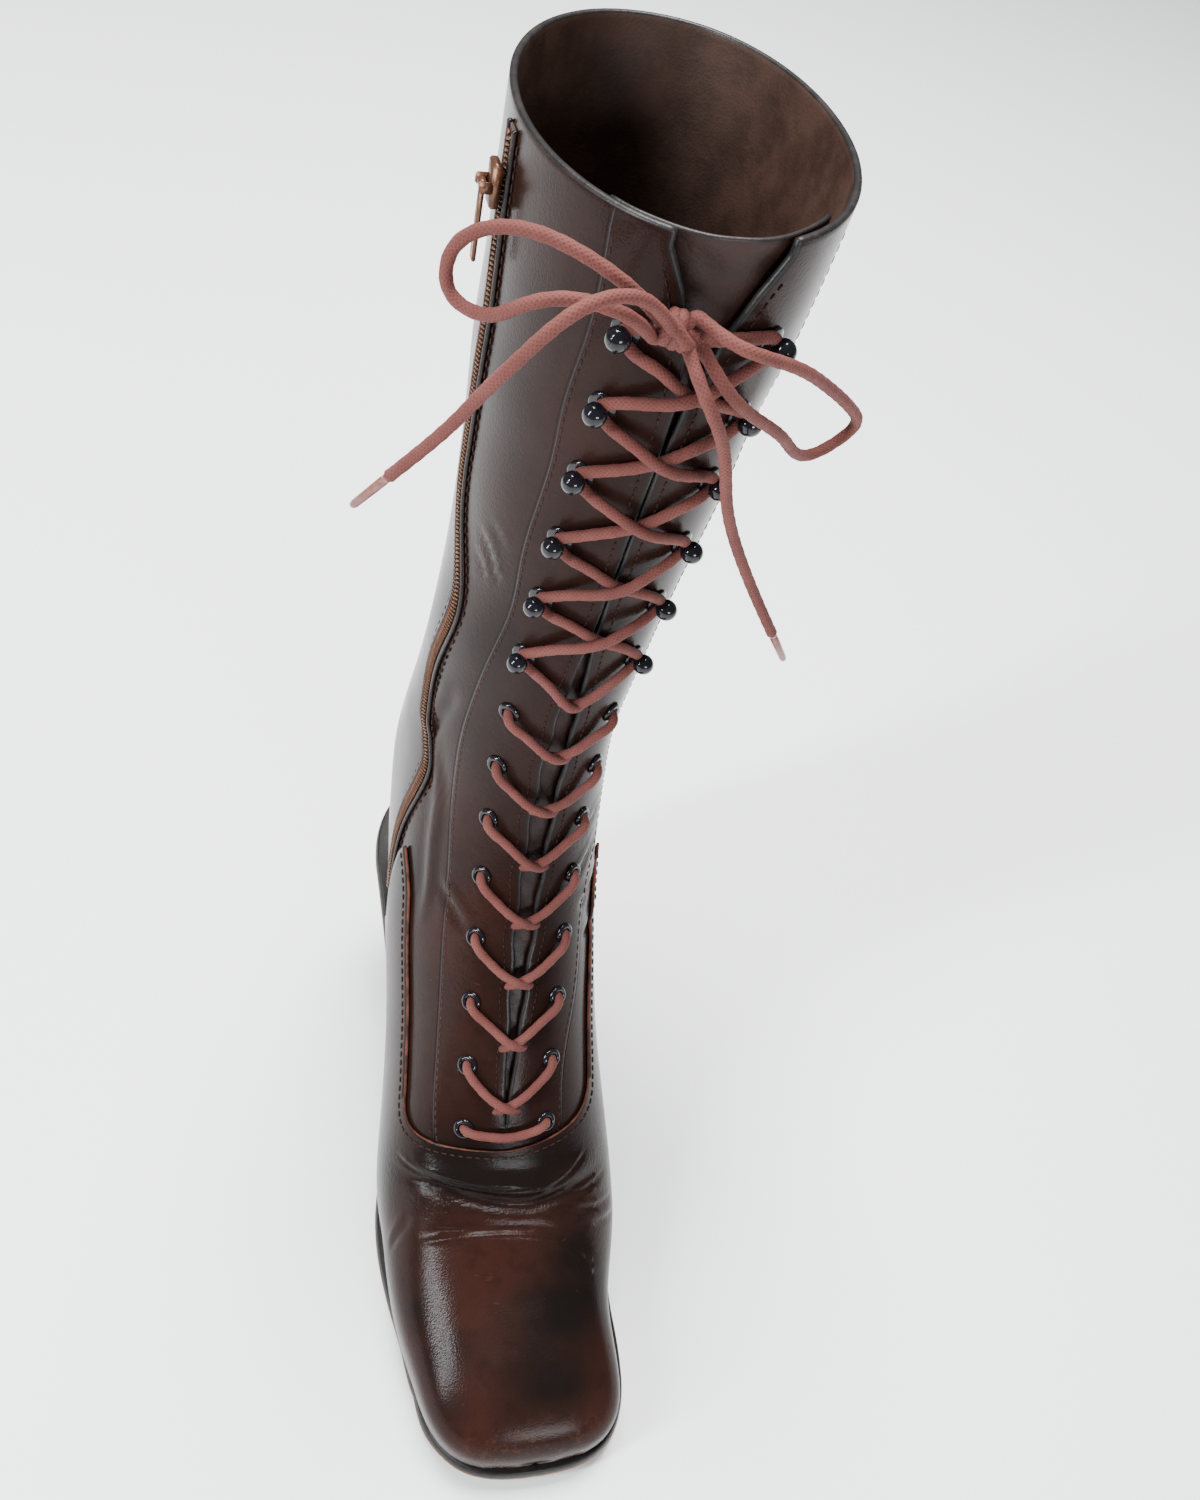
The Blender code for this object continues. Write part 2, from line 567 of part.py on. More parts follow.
def make_fasteners(material):
    """Ring eyelets on the foot rows and ball hooks on the leg rows."""
    eyelet = turned_mesh("eyelet", EYELET_PROFILE, 9, True)
    hook = turned_mesh("hook", HOOK_PROFILE, 8, False)
    for row, place in enumerate(ROW_PLACES):
        for side, word in SIDES:
            kind, mesh = ("eyelet", eyelet) if row < EYELET_ROWS else ("hook", hook)
            item = add_object(f"{kind}_{row + 1:02d}_{word}", mesh, material)
            item.matrix_world = seat_matrix(place, row_angle(row, side), GAP + 0.05)


def boolean(item, other, operation):
    """Adds a Boolean and hides the other object as its guide."""
    modifier = item.modifiers.new(operation.lower(), "BOOLEAN")
    modifier.operation = operation
    modifier.object = other
    other.hide_render = True
    other.display_type = "WIRE"


def cut_eyelet_holes(upper, material):
    """Punches a hole through the wall under each eyelet."""
    points, faces = [], []
    sides = 8
    for row in range(EYELET_ROWS):
        for side, _ in SIDES:
            place = seat_matrix(ROW_PLACES[row], row_angle(row, side), 0.0)
            start = len(points)
            for depth in (-WALL - 1.0, 1.0):
                for k in range(sides):
                    turn = 2 * math.pi * (k + 0.5) / sides
                    local = Vector((HOLE_RADIUS * math.cos(turn), HOLE_RADIUS * math.sin(turn), depth))
                    points.append(place @ (local * MM))
            faces.append(tuple(start + k for k in reversed(range(sides))))
            faces.append(tuple(start + sides + k for k in range(sides)))
            for k in range(sides):
                n = (k + 1) % sides
                faces.append((start + k, start + n, start + sides + n, start + sides + k))
    cutter = add_object("eyelet_hole_cutter", mesh_from("eyelet_hole_cutter", points, faces), material)
    boolean(upper, cutter, "DIFFERENCE")


def smooth_route(points, step):
    """Points about a step apart on a smooth curve through the route's points."""
    points = np.asarray(points, float)
    knots = np.concatenate([[0.0], np.cumsum(np.linalg.norm(np.diff(points, axis=0), axis=1))])
    count = max(3, int(round(knots[-1] / step)) + 1)
    return spline_through(knots, points)(np.linspace(0.0, knots[-1], count))


def tube_mesh(name, points, radius, sides):
    """A round bar along points in millimetres, closed at both ends."""
    points = np.asarray(points, float)
    rings, normal = [], None
    for i, point in enumerate(points):
        ahead = Vector(points[min(i + 1, len(points) - 1)] - points[max(i - 1, 0)]).normalized()
        if normal is None:
            normal = ahead.orthogonal()
        normal = (normal - ahead * normal.dot(ahead)).normalized()
        side = ahead.cross(normal)
        for k in range(sides):
            turn = 2 * math.pi * k / sides
            rings.append(Vector(point) + (normal * math.cos(turn) + side * math.sin(turn)) * radius)
    faces = grid_faces(len(points), sides, lambda i, j: True, wrap=True)
    faces.append(tuple(range(sides)))
    faces.append(tuple(range((len(points) - 1) * sides, len(points) * sides)))
    return mesh_from(name, world(rings), faces)


LACE_HEIGHT = 3.4
HOOK_LACE_HEIGHT = 2.35
LACE_SIDES = 6
VEE_DROP = 0.8


def lace_route(stops, step=7.5):
    """Smooth points over the last through stops of place, sideways millimetres and height."""
    points = []
    for v, across, height in stops:
        half = float(section(np.array(v))["inner"])
        points.append(over_last(v, math.asin(across / half), height))
    return smooth_route(points, step)


def make_lace_crossings(material):
    """A bar at the first row, a V at each eyelet row and an X between hook rows."""
    rows, chords = ROW_PLACES, HALF_CHORDS
    high = LACE_HEIGHT
    bar = ((rows[0], -chords[0], high), (rows[0] - 3.5, 0.0, high - 0.5), (rows[0], chords[0], high))
    add_object("lace_bar_01", tube_mesh("lace_bar_01", lace_route(bar), LACE_RADIUS, LACE_SIDES), material)
    for row in range(1, EYELET_ROWS + 1):
        reach = chords[row] if row < EYELET_ROWS else chords[row] - 4.8
        drop = VEE_DROP * (rows[row] - rows[row - 1])
        high = LACE_HEIGHT if row < EYELET_ROWS else HOOK_LACE_HEIGHT
        vee = ((rows[row], -reach, high), (rows[row] - 0.8 * drop, -0.35 * reach, high),
               (rows[row] - drop, 0.0, high), (rows[row] - 0.8 * drop, 0.35 * reach, high),
               (rows[row], reach, high))
        name = f"lace_vee_{row + 1:02d}"
        add_object(name, tube_mesh(name, lace_route(vee), LACE_RADIUS, LACE_SIDES), material)
    high = HOOK_LACE_HEIGHT
    for row in range(EYELET_ROWS, len(rows) - 1):
        reach = chords[row] - 5.0
        low, top = rows[row] + 3.0, rows[row + 1] - 3.0
        name = f"lace_cross_{row + 2:02d}"
        strands = []
        for side in (-1, 1):
            stops = ((low, -side * reach, high), ((low + top) / 2, 0.0, high), (top, side * reach, high))
            strands.append(tube_mesh(name, lace_route(stops), LACE_RADIUS, LACE_SIDES))
        first = add_object(name, strands[0], material)
        second = add_object(name + "_guide", strands[1], material)
        boolean(first, second, "UNION")


def make_bow(material, aglet_material):
    """The knot, two loops and two hanging ends with their aglets."""
    ball = bmesh.new()
    bmesh.ops.create_uvsphere(ball, u_segments=12, v_segments=8, radius=MM)
    bmesh.ops.scale(ball, vec=KNOT_SIZE, verts=ball.verts)
    mesh = bpy.data.meshes.new("lace_knot")
    ball.to_mesh(mesh)
    ball.free()
    knot = add_object("lace_knot", mesh, material)
    place = seat_matrix(KNOT_PLACE, math.radians(KNOT_ANGLE), KNOT_HEIGHT)
    knot.location = place.translation
    for name, route in (("lace_loop_inner", LOOP_INNER), ("lace_loop_outer", LOOP_OUTER),
                        ("lace_end_inner", END_INNER), ("lace_end_outer", END_OUTER)):
        curve = bpy.data.curves.new(name, "CURVE")
        curve.dimensions = "3D"
        curve.bevel_depth = LACE_RADIUS * MM
        curve.bevel_resolution = 2
        curve.use_fill_caps = True
        points = world(smooth_route(route, 7.5))
        spline = curve.splines.new("POLY")
        spline.points.add(len(points) - 1)
        for target, point in zip(spline.points, points):
            target.co = (*point, 1.0)
        add_object(name, curve, material)
        if "end" in name:
            ahead = np.subtract(route[-1], route[-2])
            ahead = ahead / np.linalg.norm(ahead)
            start = np.array(route[-1]) + ahead * GAP
            tip = start + ahead * AGLET_LENGTH
            label = name.replace("end", "aglet")
            add_object(label, tube_mesh(label, [start, tip], AGLET_RADIUS, 8), aglet_material)


def zip_angle(v):
    route = np.array(ZIP_ROUTE[::-1])
    return np.radians(spline_through(route[:, 0], route[:, 1:])(v)[:, 0])


def make_zip(material):
    """The toothed strip down the inner side."""
    places = np.linspace(ZIP_ROUTE[-1][0], ZIP_ROUTE[0][0], 32)
    angles = zip_angle(places)
    point, _, _, normal = last_frame(places, angles)
    seated = point + normal * GAP
    ahead = np.gradient(seated, axis=0)
    ahead = ahead / np.linalg.norm(ahead, axis=1, keepdims=True)
    across = np.cross(ahead, normal)
    shares = (-1.0, 0.0, 1.0)
    heights = (0.8, ZIP_THICKNESS, 0.8)
    sag = 0.12
    outside, inside = [], []
    for share, height in zip(shares, heights):
        base = seated + across * ZIP_HALF_WIDTH * share + normal * sag
        inside.append(base)
        outside.append(base + normal * height)
    outside = np.stack(outside, 1).reshape(-1, 3)
    inside = np.stack(inside, 1).reshape(-1, 3)
    faces = grid_faces(len(places), len(shares), lambda i, j: True)
    return thick_sheet("zip", outside, inside, faces, material)


def box_mesh(name, low, high):
    points = [(x, y, z) for x in (low[0], high[0]) for y in (low[1], high[1]) for z in (low[2], high[2])]
    faces = ((0, 1, 3, 2), (4, 6, 7, 5), (0, 4, 5, 1), (2, 3, 7, 6), (0, 2, 6, 4), (1, 5, 7, 3))
    return mesh_from(name, np.array(points) * MM, faces)


SLIDER_HEIGHT = 2.2
PULL_AXIS_HEIGHT = 3.9


def make_slider(material):
    """The slider at the top of the zip, and its pull tab hanging from two lugs."""
    angle = float(zip_angle([SLIDER_PLACE])[0])
    place = seat_matrix(SLIDER_PLACE, angle, GAP + ZIP_THICKNESS + GAP + 0.15)
    slider = add_object("zip_slider", box_mesh("zip_slider", (-3.6, -5.0, 0.0), (3.6, 5.0, SLIDER_HEIGHT)),
                        material)
    slider.matrix_world = place
    for side in (-1, 1):
        ends = sorted((side * 1.9, side * 2.9))
        lug = add_object(f"zip_slider_lug_{side + 2}", box_mesh(
            "zip_slider_lug", (ends[0], -1.4, 1.5), (ends[1], 1.4, PULL_AXIS_HEIGHT + 1.2)), material)
        lug.matrix_world = place
        boolean(slider, lug, "UNION")
    profile = [(0.9, -1.5), (0.9, 1.5)]
    hub = turned_mesh("zip_pull", profile, 10, False)
    hub.transform(Matrix.Rotation(math.pi / 2, 4, "Y"))
    pull = add_object("zip_pull", hub, material)
    plate = add_object("zip_pull_plate", box_mesh("zip_pull_plate", (-1.5, -19.0, -0.5), (1.5, 0.0, 0.5)),
                       material)
    boolean(pull, plate, "UNION")
    axis = place @ Matrix.Translation((0.0, 0.0, PULL_AXIS_HEIGHT * MM))
    pull.matrix_world = axis
    plate.matrix_world = axis


def clear_scene():
    for item in list(bpy.data.objects):
        bpy.data.objects.remove(item, do_unlink=True)


def build():
    clear_scene()
    leather = new_material("boot_leather", (0.060, 0.022, 0.015), 0.30)
    vamp_leather = new_material("vamp_leather", (0.075, 0.024, 0.015), 0.28)
    tongue_leather = new_material("tongue_leather", (0.035, 0.016, 0.012), 0.5)
    lining = new_material("insole_leather", (0.36, 0.22, 0.13), 0.6)
    sole_leather = new_material("sole_leather", (0.030, 0.018, 0.012), 0.5)
    heel_leather = new_material("heel_leather", (0.025, 0.014, 0.010), 0.4)
    lift_rubber = new_material("top_lift_rubber", (0.015, 0.015, 0.015), 0.7)
    black_metal = new_material("black_lacquered_metal", (0.012, 0.012, 0.014), 0.18, 0.3)
    bronze = new_material("bronze_zip", (0.20, 0.11, 0.06), 0.4, 0.8)
    lace = new_material("waxed_lace", (0.19, 0.065, 0.045), 0.6)
    aglet = new_material("brown_aglet", (0.16, 0.07, 0.04), 0.25)
    make_outsole(sole_leather)
    make_heel_block(heel_leather)
    make_top_lift(lift_rubber)
    make_insole(lining)
    upper = make_upper(leather)
    cut_eyelet_holes(upper, leather)
    make_vamp(vamp_leather)
    make_tongue(tongue_leather)
    make_fasteners(black_metal)
    make_lace_crossings(lace)
    make_bow(lace, aglet)
    make_zip(bronze)
    make_slider(bronze)


build()
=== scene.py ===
"""The looks of the left lace up boot: leather, laces, hooks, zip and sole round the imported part.

The boot's own sizes are in millimetres in the last's table frame, as in the part's source. x runs
from the big toe side to the little toe side, y from the sole's tip backwards and z up. world() turns
them into the part's frame in metres.
"""
import math

import bmesh
import bpy
import numpy as np
from mathutils import Matrix, Vector

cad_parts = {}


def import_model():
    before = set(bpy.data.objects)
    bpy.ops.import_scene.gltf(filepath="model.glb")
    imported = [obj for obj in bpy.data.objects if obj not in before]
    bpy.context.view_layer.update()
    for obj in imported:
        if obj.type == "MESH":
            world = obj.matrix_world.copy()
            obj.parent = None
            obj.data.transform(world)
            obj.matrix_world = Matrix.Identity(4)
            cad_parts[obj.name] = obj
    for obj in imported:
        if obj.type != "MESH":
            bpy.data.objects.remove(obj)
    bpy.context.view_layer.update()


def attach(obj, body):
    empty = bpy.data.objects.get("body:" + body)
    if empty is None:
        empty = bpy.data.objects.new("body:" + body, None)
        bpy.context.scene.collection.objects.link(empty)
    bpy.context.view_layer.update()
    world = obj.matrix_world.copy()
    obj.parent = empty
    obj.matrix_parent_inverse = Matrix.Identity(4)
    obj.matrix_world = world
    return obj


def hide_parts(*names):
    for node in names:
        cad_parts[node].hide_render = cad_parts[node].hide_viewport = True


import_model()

# Driving sizes, shared with the part's source
MM = 0.001
ORIGIN = np.array((-6.5, 213.0, 0.0))
GAP = 0.3
WALL = 2.0
SOLE_THICKNESS = 4.2
SOLE_EDGE = 3.0
TOP_LIFT = 6.0
LACE_RADIUS = 1.5

# The last: sections from the toe to the collar, each a closed line through a front and a back point.
# inner and outer are its half widths, widest the share of the way back where it is widest, square_ how
# square its two halves are, x_ the sideways places of its ends and tuck how far it draws in at the back.
COLUMNS = ("front_y", "front_z", "back_y", "back_z", "inner", "outer", "widest",
           "square_front", "square_back", "x_front", "x_back", "tuck")
SECTIONS = (
    (30.0, 35.8, 30.0, 6.3, 33.2, 32.2, 0.62, 2.5, 6.0, 2.2, 2.2, 0.02),
    (50.0, 41.2, 50.0, 5.0, 36.4, 34.4, 0.66, 2.35, 6.0, 0.5, 0.5, 0.02),
    (65.0, 48.2, 67.0, 4.5, 38.9, 37.8, 0.70, 2.2, 6.0, -1.0, -0.5, 0.03),
    (78.0, 57.7, 84.0, 4.5, 40.2, 40.6, 0.74, 2.1, 6.0, -2.5, -1.0, 0.04),
    (92.2, 74.6, 104.0, 5.0, 40.2, 42.2, 0.76, 2.0, 5.5, -4.0, -1.5, 0.08),
    (106.5, 90.5, 126.0, 12.0, 37.6, 40.6, 0.74, 1.95, 5.0, -2.3, -2.5, 0.14),
    (120.0, 106.8, 150.0, 28.5, 35.0, 37.8, 0.70, 1.95, 4.5, -0.5, -4.0, 0.20),
    (132.4, 124.0, 176.0, 50.5, 34.2, 36.2, 0.66, 1.95, 4.5, 1.1, -5.2, 0.18),
    (142.5, 142.3, 205.0, 68.8, 34.0, 35.2, 0.62, 1.95, 4.5, 2.7, -6.2, 0.12),
    (149.8, 162.0, 233.0, 77.2, 33.6, 34.4, 0.58, 1.95, 3.0, 4.2, -6.8, 0.06),
    (153.9, 182.6, 246.2, 97.0, 32.4, 33.4, 0.55, 2.0, 2.4, 5.5, -7.0, 0.0),
    (155.2, 203.8, 245.5, 127.0, 31.4, 32.2, 0.52, 2.0, 2.2, 6.7, -6.0, 0.0),
    (154.2, 229.3, 240.5, 168.0, 31.6, 32.2, 0.50, 2.0, 2.1, 8.0, -2.0, 0.0),
    (152.1, 251.0, 242.5, 206.0, 32.8, 33.2, 0.50, 2.0, 2.1, 9.1, 3.0, 0.0),
    (149.2, 272.9, 248.0, 243.0, 34.8, 35.2, 0.50, 2.0, 2.1, 10.1, 8.0, 0.0),
    (146.2, 294.7, 253.5, 278.0, 36.8, 37.2, 0.50, 2.0, 2.1, 11.2, 12.0, 0.0),
    (143.0, 316.5, 258.0, 309.0, 38.6, 39.0, 0.50, 2.0, 2.1, 12.3, 15.0, 0.0),
    (139.7, 338.2, 261.0, 336.0, 39.8, 40.2, 0.50, 2.0, 2.1, 13.4, 17.0, 0.0),
    (136.2, 361.5, 263.0, 361.5, 40.6, 41.0, 0.50, 2.0, 2.1, 14.2, 18.5, 0.0),
)

# The toe and the seat of the heel
TOE_TIP = 3.2
TOE_ROW = SECTIONS[0][0]
TOE_SQUARE = 3.2
SOLE_SQUARE = 2.6
TOE_TOP_ROUND = 2.6
TOE_FOOT_ROUND = 5.0
TOE_TIP_HEIGHT = 16.0
TOE_SPRING = 0.03
SEAT_START = 207.0
SEAT_BACK = 239.0
SEAT_ROUND = 2.4
SEAT_END = 228.0

# Throat, vamp and eyelets. Places are millimetres along the front from the toe, angles are degrees.
# The vamp's top line dips to VAMP_DIP in front and follows VAMP_LINES on the inner and outer side.
# VAMP_END gives its back end as (share of the way down, place).
THROAT_START = 103.0
VAMP_DIP = 95.0
VAMP_CORNER = 124.0
VAMP_ROUND = 1.7
VAMP_END = ((0.0, 199.0), (0.08, 197.0), (0.2, 191.0), (0.31, 184.0), (0.4, 178.0), (1.0, 178.0))
VAMP_LINES = (((124.0, 58.0), (140.0, 62.0), (162.0, 66.0), (184.0, 68.5), (200.0, 73.0)),
              ((124.0, 47.0), (140.0, 49.0), (162.0, 53.0), (184.0, 57.0), (200.0, 62.0)))
ROW_PLACES = (105.0, 127.0, 148.5, 170.0, 191.0, 212.0, 233.0, 255.0,
              279.0, 301.0, 323.0, 345.0, 366.0, 387.0)
EYELET_ROWS = 8
HALF_CHORDS = (14.0, 14.3, 14.6, 14.9, 15.1, 15.3, 15.5, 15.6,
               16.0, 16.1, 16.2, 16.3, 16.4, 16.6)
THROAT_GAP = ((103.0, 0.5), (125.0, 2.0), (168.0, 3.4), (210.0, 4.0), (240.0, 3.8), (262.0, 2.8),
              (285.0, 1.2), (300.0, 0.8), (350.0, 0.8), (370.0, 1.6), (388.0, 4.5), (400.0, 9.0),
              (411.4, 15.0))

# Openings and spreads of the foot's underside, as (y, slope), and the zip's route as (place, degrees)
FOOT_OPENING = ((12.0, 0.40), (18.0, 0.60), (26.0, 0.68), (60.0, 0.74), (110.0, 0.72),
                (170.0, 0.62), (205.0, 0.60), (222.0, 0.45), (226.0, 0.36))
INSOLE_SPREAD = ((10.0, 0.30), (11.5, 0.45), (14.0, 0.58), (18.0, 0.70), (26.0, 0.76), (60.0, 0.78),
                 (205.0, 0.70), (217.0, 0.60), (224.0, 0.42), (227.0, 0.25))
ZIP_ROUTE = ((409.0, -82.0), (380.0, -81.0), (354.0, -81.0), (320.0, -84.0), (303.0, -79.0),
             (290.0, -74.0), (274.0, -79.0), (256.0, -77.0), (240.0, -70.0), (228.0, -67.0),
             (214.0, -74.0), (199.0, -85.0), (185.0, -96.0))
SLIDER_PLACE = 396.0

# Sole and heel
FLAT_FROM, FLAT_TO = 56.0, 92.0
HEEL_FOOT = dict(front=191.0, back=236.0, inner=-28.5, outer=15.5)
HEEL_BREAST = 184.0

# The lace's knot, loops and ends; their points are listed
KNOT_PLACE = 394.0
KNOT_ANGLE = -11.0
KNOT_HEIGHT = 4.5
KNOT_STEP = 0.6
LOOP_INNER = ((-0.3, 135.0, 346.0), (-8.0, 134.0, 352.5), (-17.0, 136.0, 357.0), (-28.5, 142.0, 358.5),
              (-38.0, 148.0, 354.0), (-42.0, 150.5, 347.0), (-41.5, 149.5, 340.5),
              (-36.0, 143.5, 339.0), (-28.5, 134.5, 346.5), (-21.0, 130.0, 351.0),
              (-11.0, 128.5, 350.0), (-0.9, 134.8, 341.6))
LOOP_OUTER = ((9.9, 135.0, 345.4), (15.5, 129.5, 344.0), (29.0, 131.5, 339.0), (45.0, 142.0, 328.0),
              (60.0, 153.5, 314.5), (64.5, 159.0, 305.5), (58.5, 158.5, 299.5),
              (41.5, 146.0, 310.0), (25.5, 134.0, 324.5), (15.8, 130.0, 334.0),
              (9.9, 135.4, 340.6))
END_INNER = ((2.3, 132.2, 345.2), (-8.0, 127.0, 354.0), (-17.5, 123.5, 354.0), (-24.5, 123.5, 348.0),
             (-30.0, 125.5, 339.5), (-35.0, 129.0, 330.0), (-40.0, 133.5, 319.0),
             (-46.0, 138.0, 308.0), (-52.0, 141.0, 299.0))
END_OUTER = ((7.1, 132.4, 340.2), (10.5, 126.5, 334.0), (17.5, 127.0, 322.5), (25.0, 132.0, 303.0),
             (34.0, 138.0, 284.0), (44.5, 142.0, 266.0), (55.5, 145.0, 248.5))
AGLET_LENGTH = 15.0
AGLET_RADIUS = 1.15

# Sizes of the looks: the radius of an eyelet's hole in the leather, heights of the vamp's and tongue's
# faces over the last's surface, and the stitches
HOLE_CLEAR = 2.1
VAMP_LOW = 0.45
VAMP_TOP = 1.45
TONGUE_TOP = -3.3
TONGUE_LOW = -4.6
STITCH_PITCH = 2.9
STITCH_LENGTH = 2.3
STITCH_WIDTH = 0.62
STITCH_HEIGHT = 0.5
# Heights of the lace under the leather, beside a hook and at its neck
UNDER = -3.4
OVER_HOOK = 1.9
AT_NECK = 1.7

# Sides of the boot: sign of the angle, and word in the names
SIDES = ((-1, "inner"), (1, "outer"))

# Folds in the leather: route of (place, degrees), then depth and width of the trough, height of the
# ridge beside it, how far up the last the ridge lies from the trough, and the ridge's width.
FOLDS = (
    (((99, -62), (90, -42), (81, -22), (76.5, -4), (76, 14), (82, 34), (94, 62)), 2.0, 2.6, 1.7, 6.0, 4.2),
    (((96, -54), (88, -36), (83, -20), (79.5, -4), (79, 12), (84, 28)), 0.75, 0.9, 0.3, 1.6, 0.9),
    (((99, -50), (92, -36), (86, -22), (82.4, -6), (82, 8)), 0.5, 0.8, 0.25, 1.5, 0.8),
    (((106, -60), (97, -48), (91, -38), (86, -28)), 0.5, 0.9, 0.25, 1.6, 0.9),
    (((80, 12), (84, 24), (90, 34), (97, 42)), 0.6, 0.9, 0.3, 1.6, 0.9),
    (((78, 24), (80, 36), (85, 48), (93, 60)), 0.7, 1.0, 0.35, 1.8, 1.0),
    (((75, 30), (75, 42), (78, 54), (83, 68)), 0.6, 1.1, 0.3, 2.0, 1.1),
    (((70, -52), (69, -36), (67.6, -20), (66.5, -2), (64.5, 18), (60, 36)), -0.55, 0.9, -0.8, 2.6, 2.4),
    (((64, 12), (62, 26), (58, 40), (53, 52)), -0.4, 0.9, -0.3, 2.2, 1.5),
    (((73, -40), (71, -30), (70, -22)), 0.4, 0.8, 0.2, 1.4, 0.8),
    (((70, 44), (72, 54), (75, 64), (79, 76)), 0.6, 1.3, 0.3, 2.4, 1.4),
    (((80, -50), (76, -62), (73, -76)), 0.5, 1.6, 0.25, 3.0, 1.8),
    (((41, -30), (40, -10), (40, 12), (40, 34)), -0.22, 5.0, 0.0, 1.0, 1.0),
    (((246, -66), (232, -62), (216, -56), (198, -56), (184, -57), (172, -62)), -1.3, 3.0, -0.9, 0.0, 7.0),
    (((190, -52), (183, -44), (177, -37), (171, -32)), 0.9, 1.8, 0.5, 3.5, 2.2),
    (((206, 50), (197, 40), (190, 30), (186, 20)), 0.8, 1.5, 0.4, 3.0, 1.9),
    (((222, 54), (214, 44), (207, 34), (203, 24)), 0.6, 1.4, 0.3, 2.8, 1.8),
    (((198, 66), (188, 54), (182, 44), (178, 34)), 0.9, 1.6, 0.4, 3.2, 2.0),
    (((188, 72), (179, 62), (172, 52), (168, 42)), 0.6, 1.6, 0.3, 3.2, 2.0),
    (((316, -68), (312, -61), (306, -56), (299, -52)), 0.7, 1.2, 0.4, 2.4, 1.5),
    (((309, -70), (305, -63), (300, -58)), 0.6, 1.2, 0.3, 2.2, 1.4),
    (((320, -60), (317, -55), (312, -50)), 0.4, 1.0, 0.2, 2.0, 1.2),
    (((262, -58), (250, -64), (238, -72)), 0.7, 2.6, 0.4, 4.5, 3.0),
    (((208, 150), (200, 172), (198, 190), (202, 210)), 0.9, 3.2, 0.5, 6.0, 4.0),
    (((222, 150), (215, 172), (214, 190), (218, 210)), 0.6, 3.0, 0.3, 6.0, 4.0),
)
# Soft waves of the shaft: height, waves round it, waves up it in millimetres, turn
WAVES = ((0.55, 1.0, 96.0, 0.4), (0.35, 3.0, 61.0, 2.1), (0.22, 2.0, 37.0, 4.0))
WAVE_FROM, WAVE_FULL, WAVE_FADE, WAVE_END = 150.0, 190.0, 350.0, 385.0

# Burnishing of the leather: place, degrees, radius in millimetres, strength
RED_PATCHES = (
    (58, -22, 13, 0.9), (56, -4, 11, 0.75), (50, -28, 9, 0.6), (71, -24, 8, 0.9), (70, -4, 9, 0.9),
    (70, 14, 8, 0.5), (22, -34, 8, 0.7), (12, -44, 8, 0.9), (10, -66, 8, 0.8), (9, 46, 8, 1.0),
    (19, 43, 8, 0.8), (32, 52, 8, 0.7), (38, -78, 10, 0.7), (48, -74, 8, 0.6), (19, -118, 12, 0.6),
    (27, -84, 8, 0.5), (9, 0, 9, 0.5), (44, -22, 8, 0.45), (88, 66, 10, 0.3), (184, -20, 11, 0.9),
    (180, -30, 9, 0.7), (168, -38, 9, 0.8), (216, -50, 10, 0.5), (136, -24, 9, 0.5), (122, -34, 9, 0.6),
    (148, -22, 8, 0.5), (279, -20, 11, 0.4), (327, -44, 14, 0.4), (354, -32, 14, 0.45),
    (174, -54, 9, 0.5), (112, 14, 8, 0.45), (112, -16, 9, 0.5), (160, 70, 14, 0.35), (120, 120, 20, 0.3),
    (60, 110, 18, 0.4), (130, -110, 20, 0.35), (230, 120, 24, 0.25), (330, 100, 26, 0.3),
    (300, -150, 30, 0.25), (390, 40, 16, 0.5), (396, -40, 14, 0.4),
)
BLACK_PATCHES = (
    (42, 10, 10, 0.9), (40, 28, 9, 0.8), (21, 8, 11, 0.8), (18, 24, 8, 0.5), (50, -56, 8, 0.8),
    (30, -50, 8, 0.7), (18, -52, 7, 0.6), (88, -6, 10, 1.0), (92, -24, 9, 1.0), (88, 14, 10, 1.0),
    (98, -40, 9, 0.9), (96, 34, 9, 0.8), (62, 34, 9, 0.9), (56, 44, 9, 0.8), (48, 48, 8, 0.5),
    (104, -66, 12, 0.8), (104, 60, 12, 0.8), (124, 80, 14, 0.7), (124, -84, 14, 0.7),
    (150, -86, 16, 0.8), (150, 84, 16, 0.6), (190, -78, 16, 0.8), (230, -90, 22, 0.7),
    (290, -86, 26, 0.8), (345, -92, 28, 0.7), (258, -66, 12, 0.5), (284, -42, 10, 0.35),
    (200, 90, 22, 0.6), (290, 90, 26, 0.5), (250, 170, 30, 0.5), (180, 180, 30, 0.6),
)
# Where fine wrinkles gather: place, degrees, radius, strength
CRUMPLES = (
    (84, -30, 10, 1.0), (80, -8, 10, 1.0), (80, 12, 10, 1.0), (84, 34, 11, 1.0), (90, -50, 10, 0.8),
    (88, 58, 12, 1.0), (76, 54, 10, 1.0), (68, 44, 8, 0.7), (67, -30, 7, 0.5), (66, 4, 6, 0.5),
    (104, 52, 12, 0.5), (104, -64, 12, 0.4), (183, -44, 10, 0.6), (200, 44, 14, 1.0), (186, 56, 14, 1.0),
    (215, 52, 12, 0.8), (172, 62, 14, 0.7), (308, -60, 11, 1.0), (246, -30, 9, 0.5), (225, -30, 9, 0.6),
    (198, -30, 9, 0.6), (174, -30, 9, 0.7), (156, -30, 9, 0.6), (200, 180, 26, 0.5), (216, -62, 10, 0.4),
)
# Seams of the eyestay as (place, degrees), and where the inner one changes its thread
STAY_INNER = ((408, -37), (381, -36), (363, -38), (346, -38), (312, -42), (294, -42), (278, -46), (242, -50),
              (198, -45), (168, -44), (140, -42), (106, -36), (92, -33))
STAY_OUTER = ((408, 55), (381, 54), (340, 53), (308, 52), (297, 52), (268, 54), (254, 51), (232, 52),
              (206, 54), (184, 42), (154, 38), (141, 33), (123, 28), (110, 28), (92, 26))
THREAD_CHANGE = 275.0


def clamped(value):
    return np.clip(value, 0.0, 1.0)


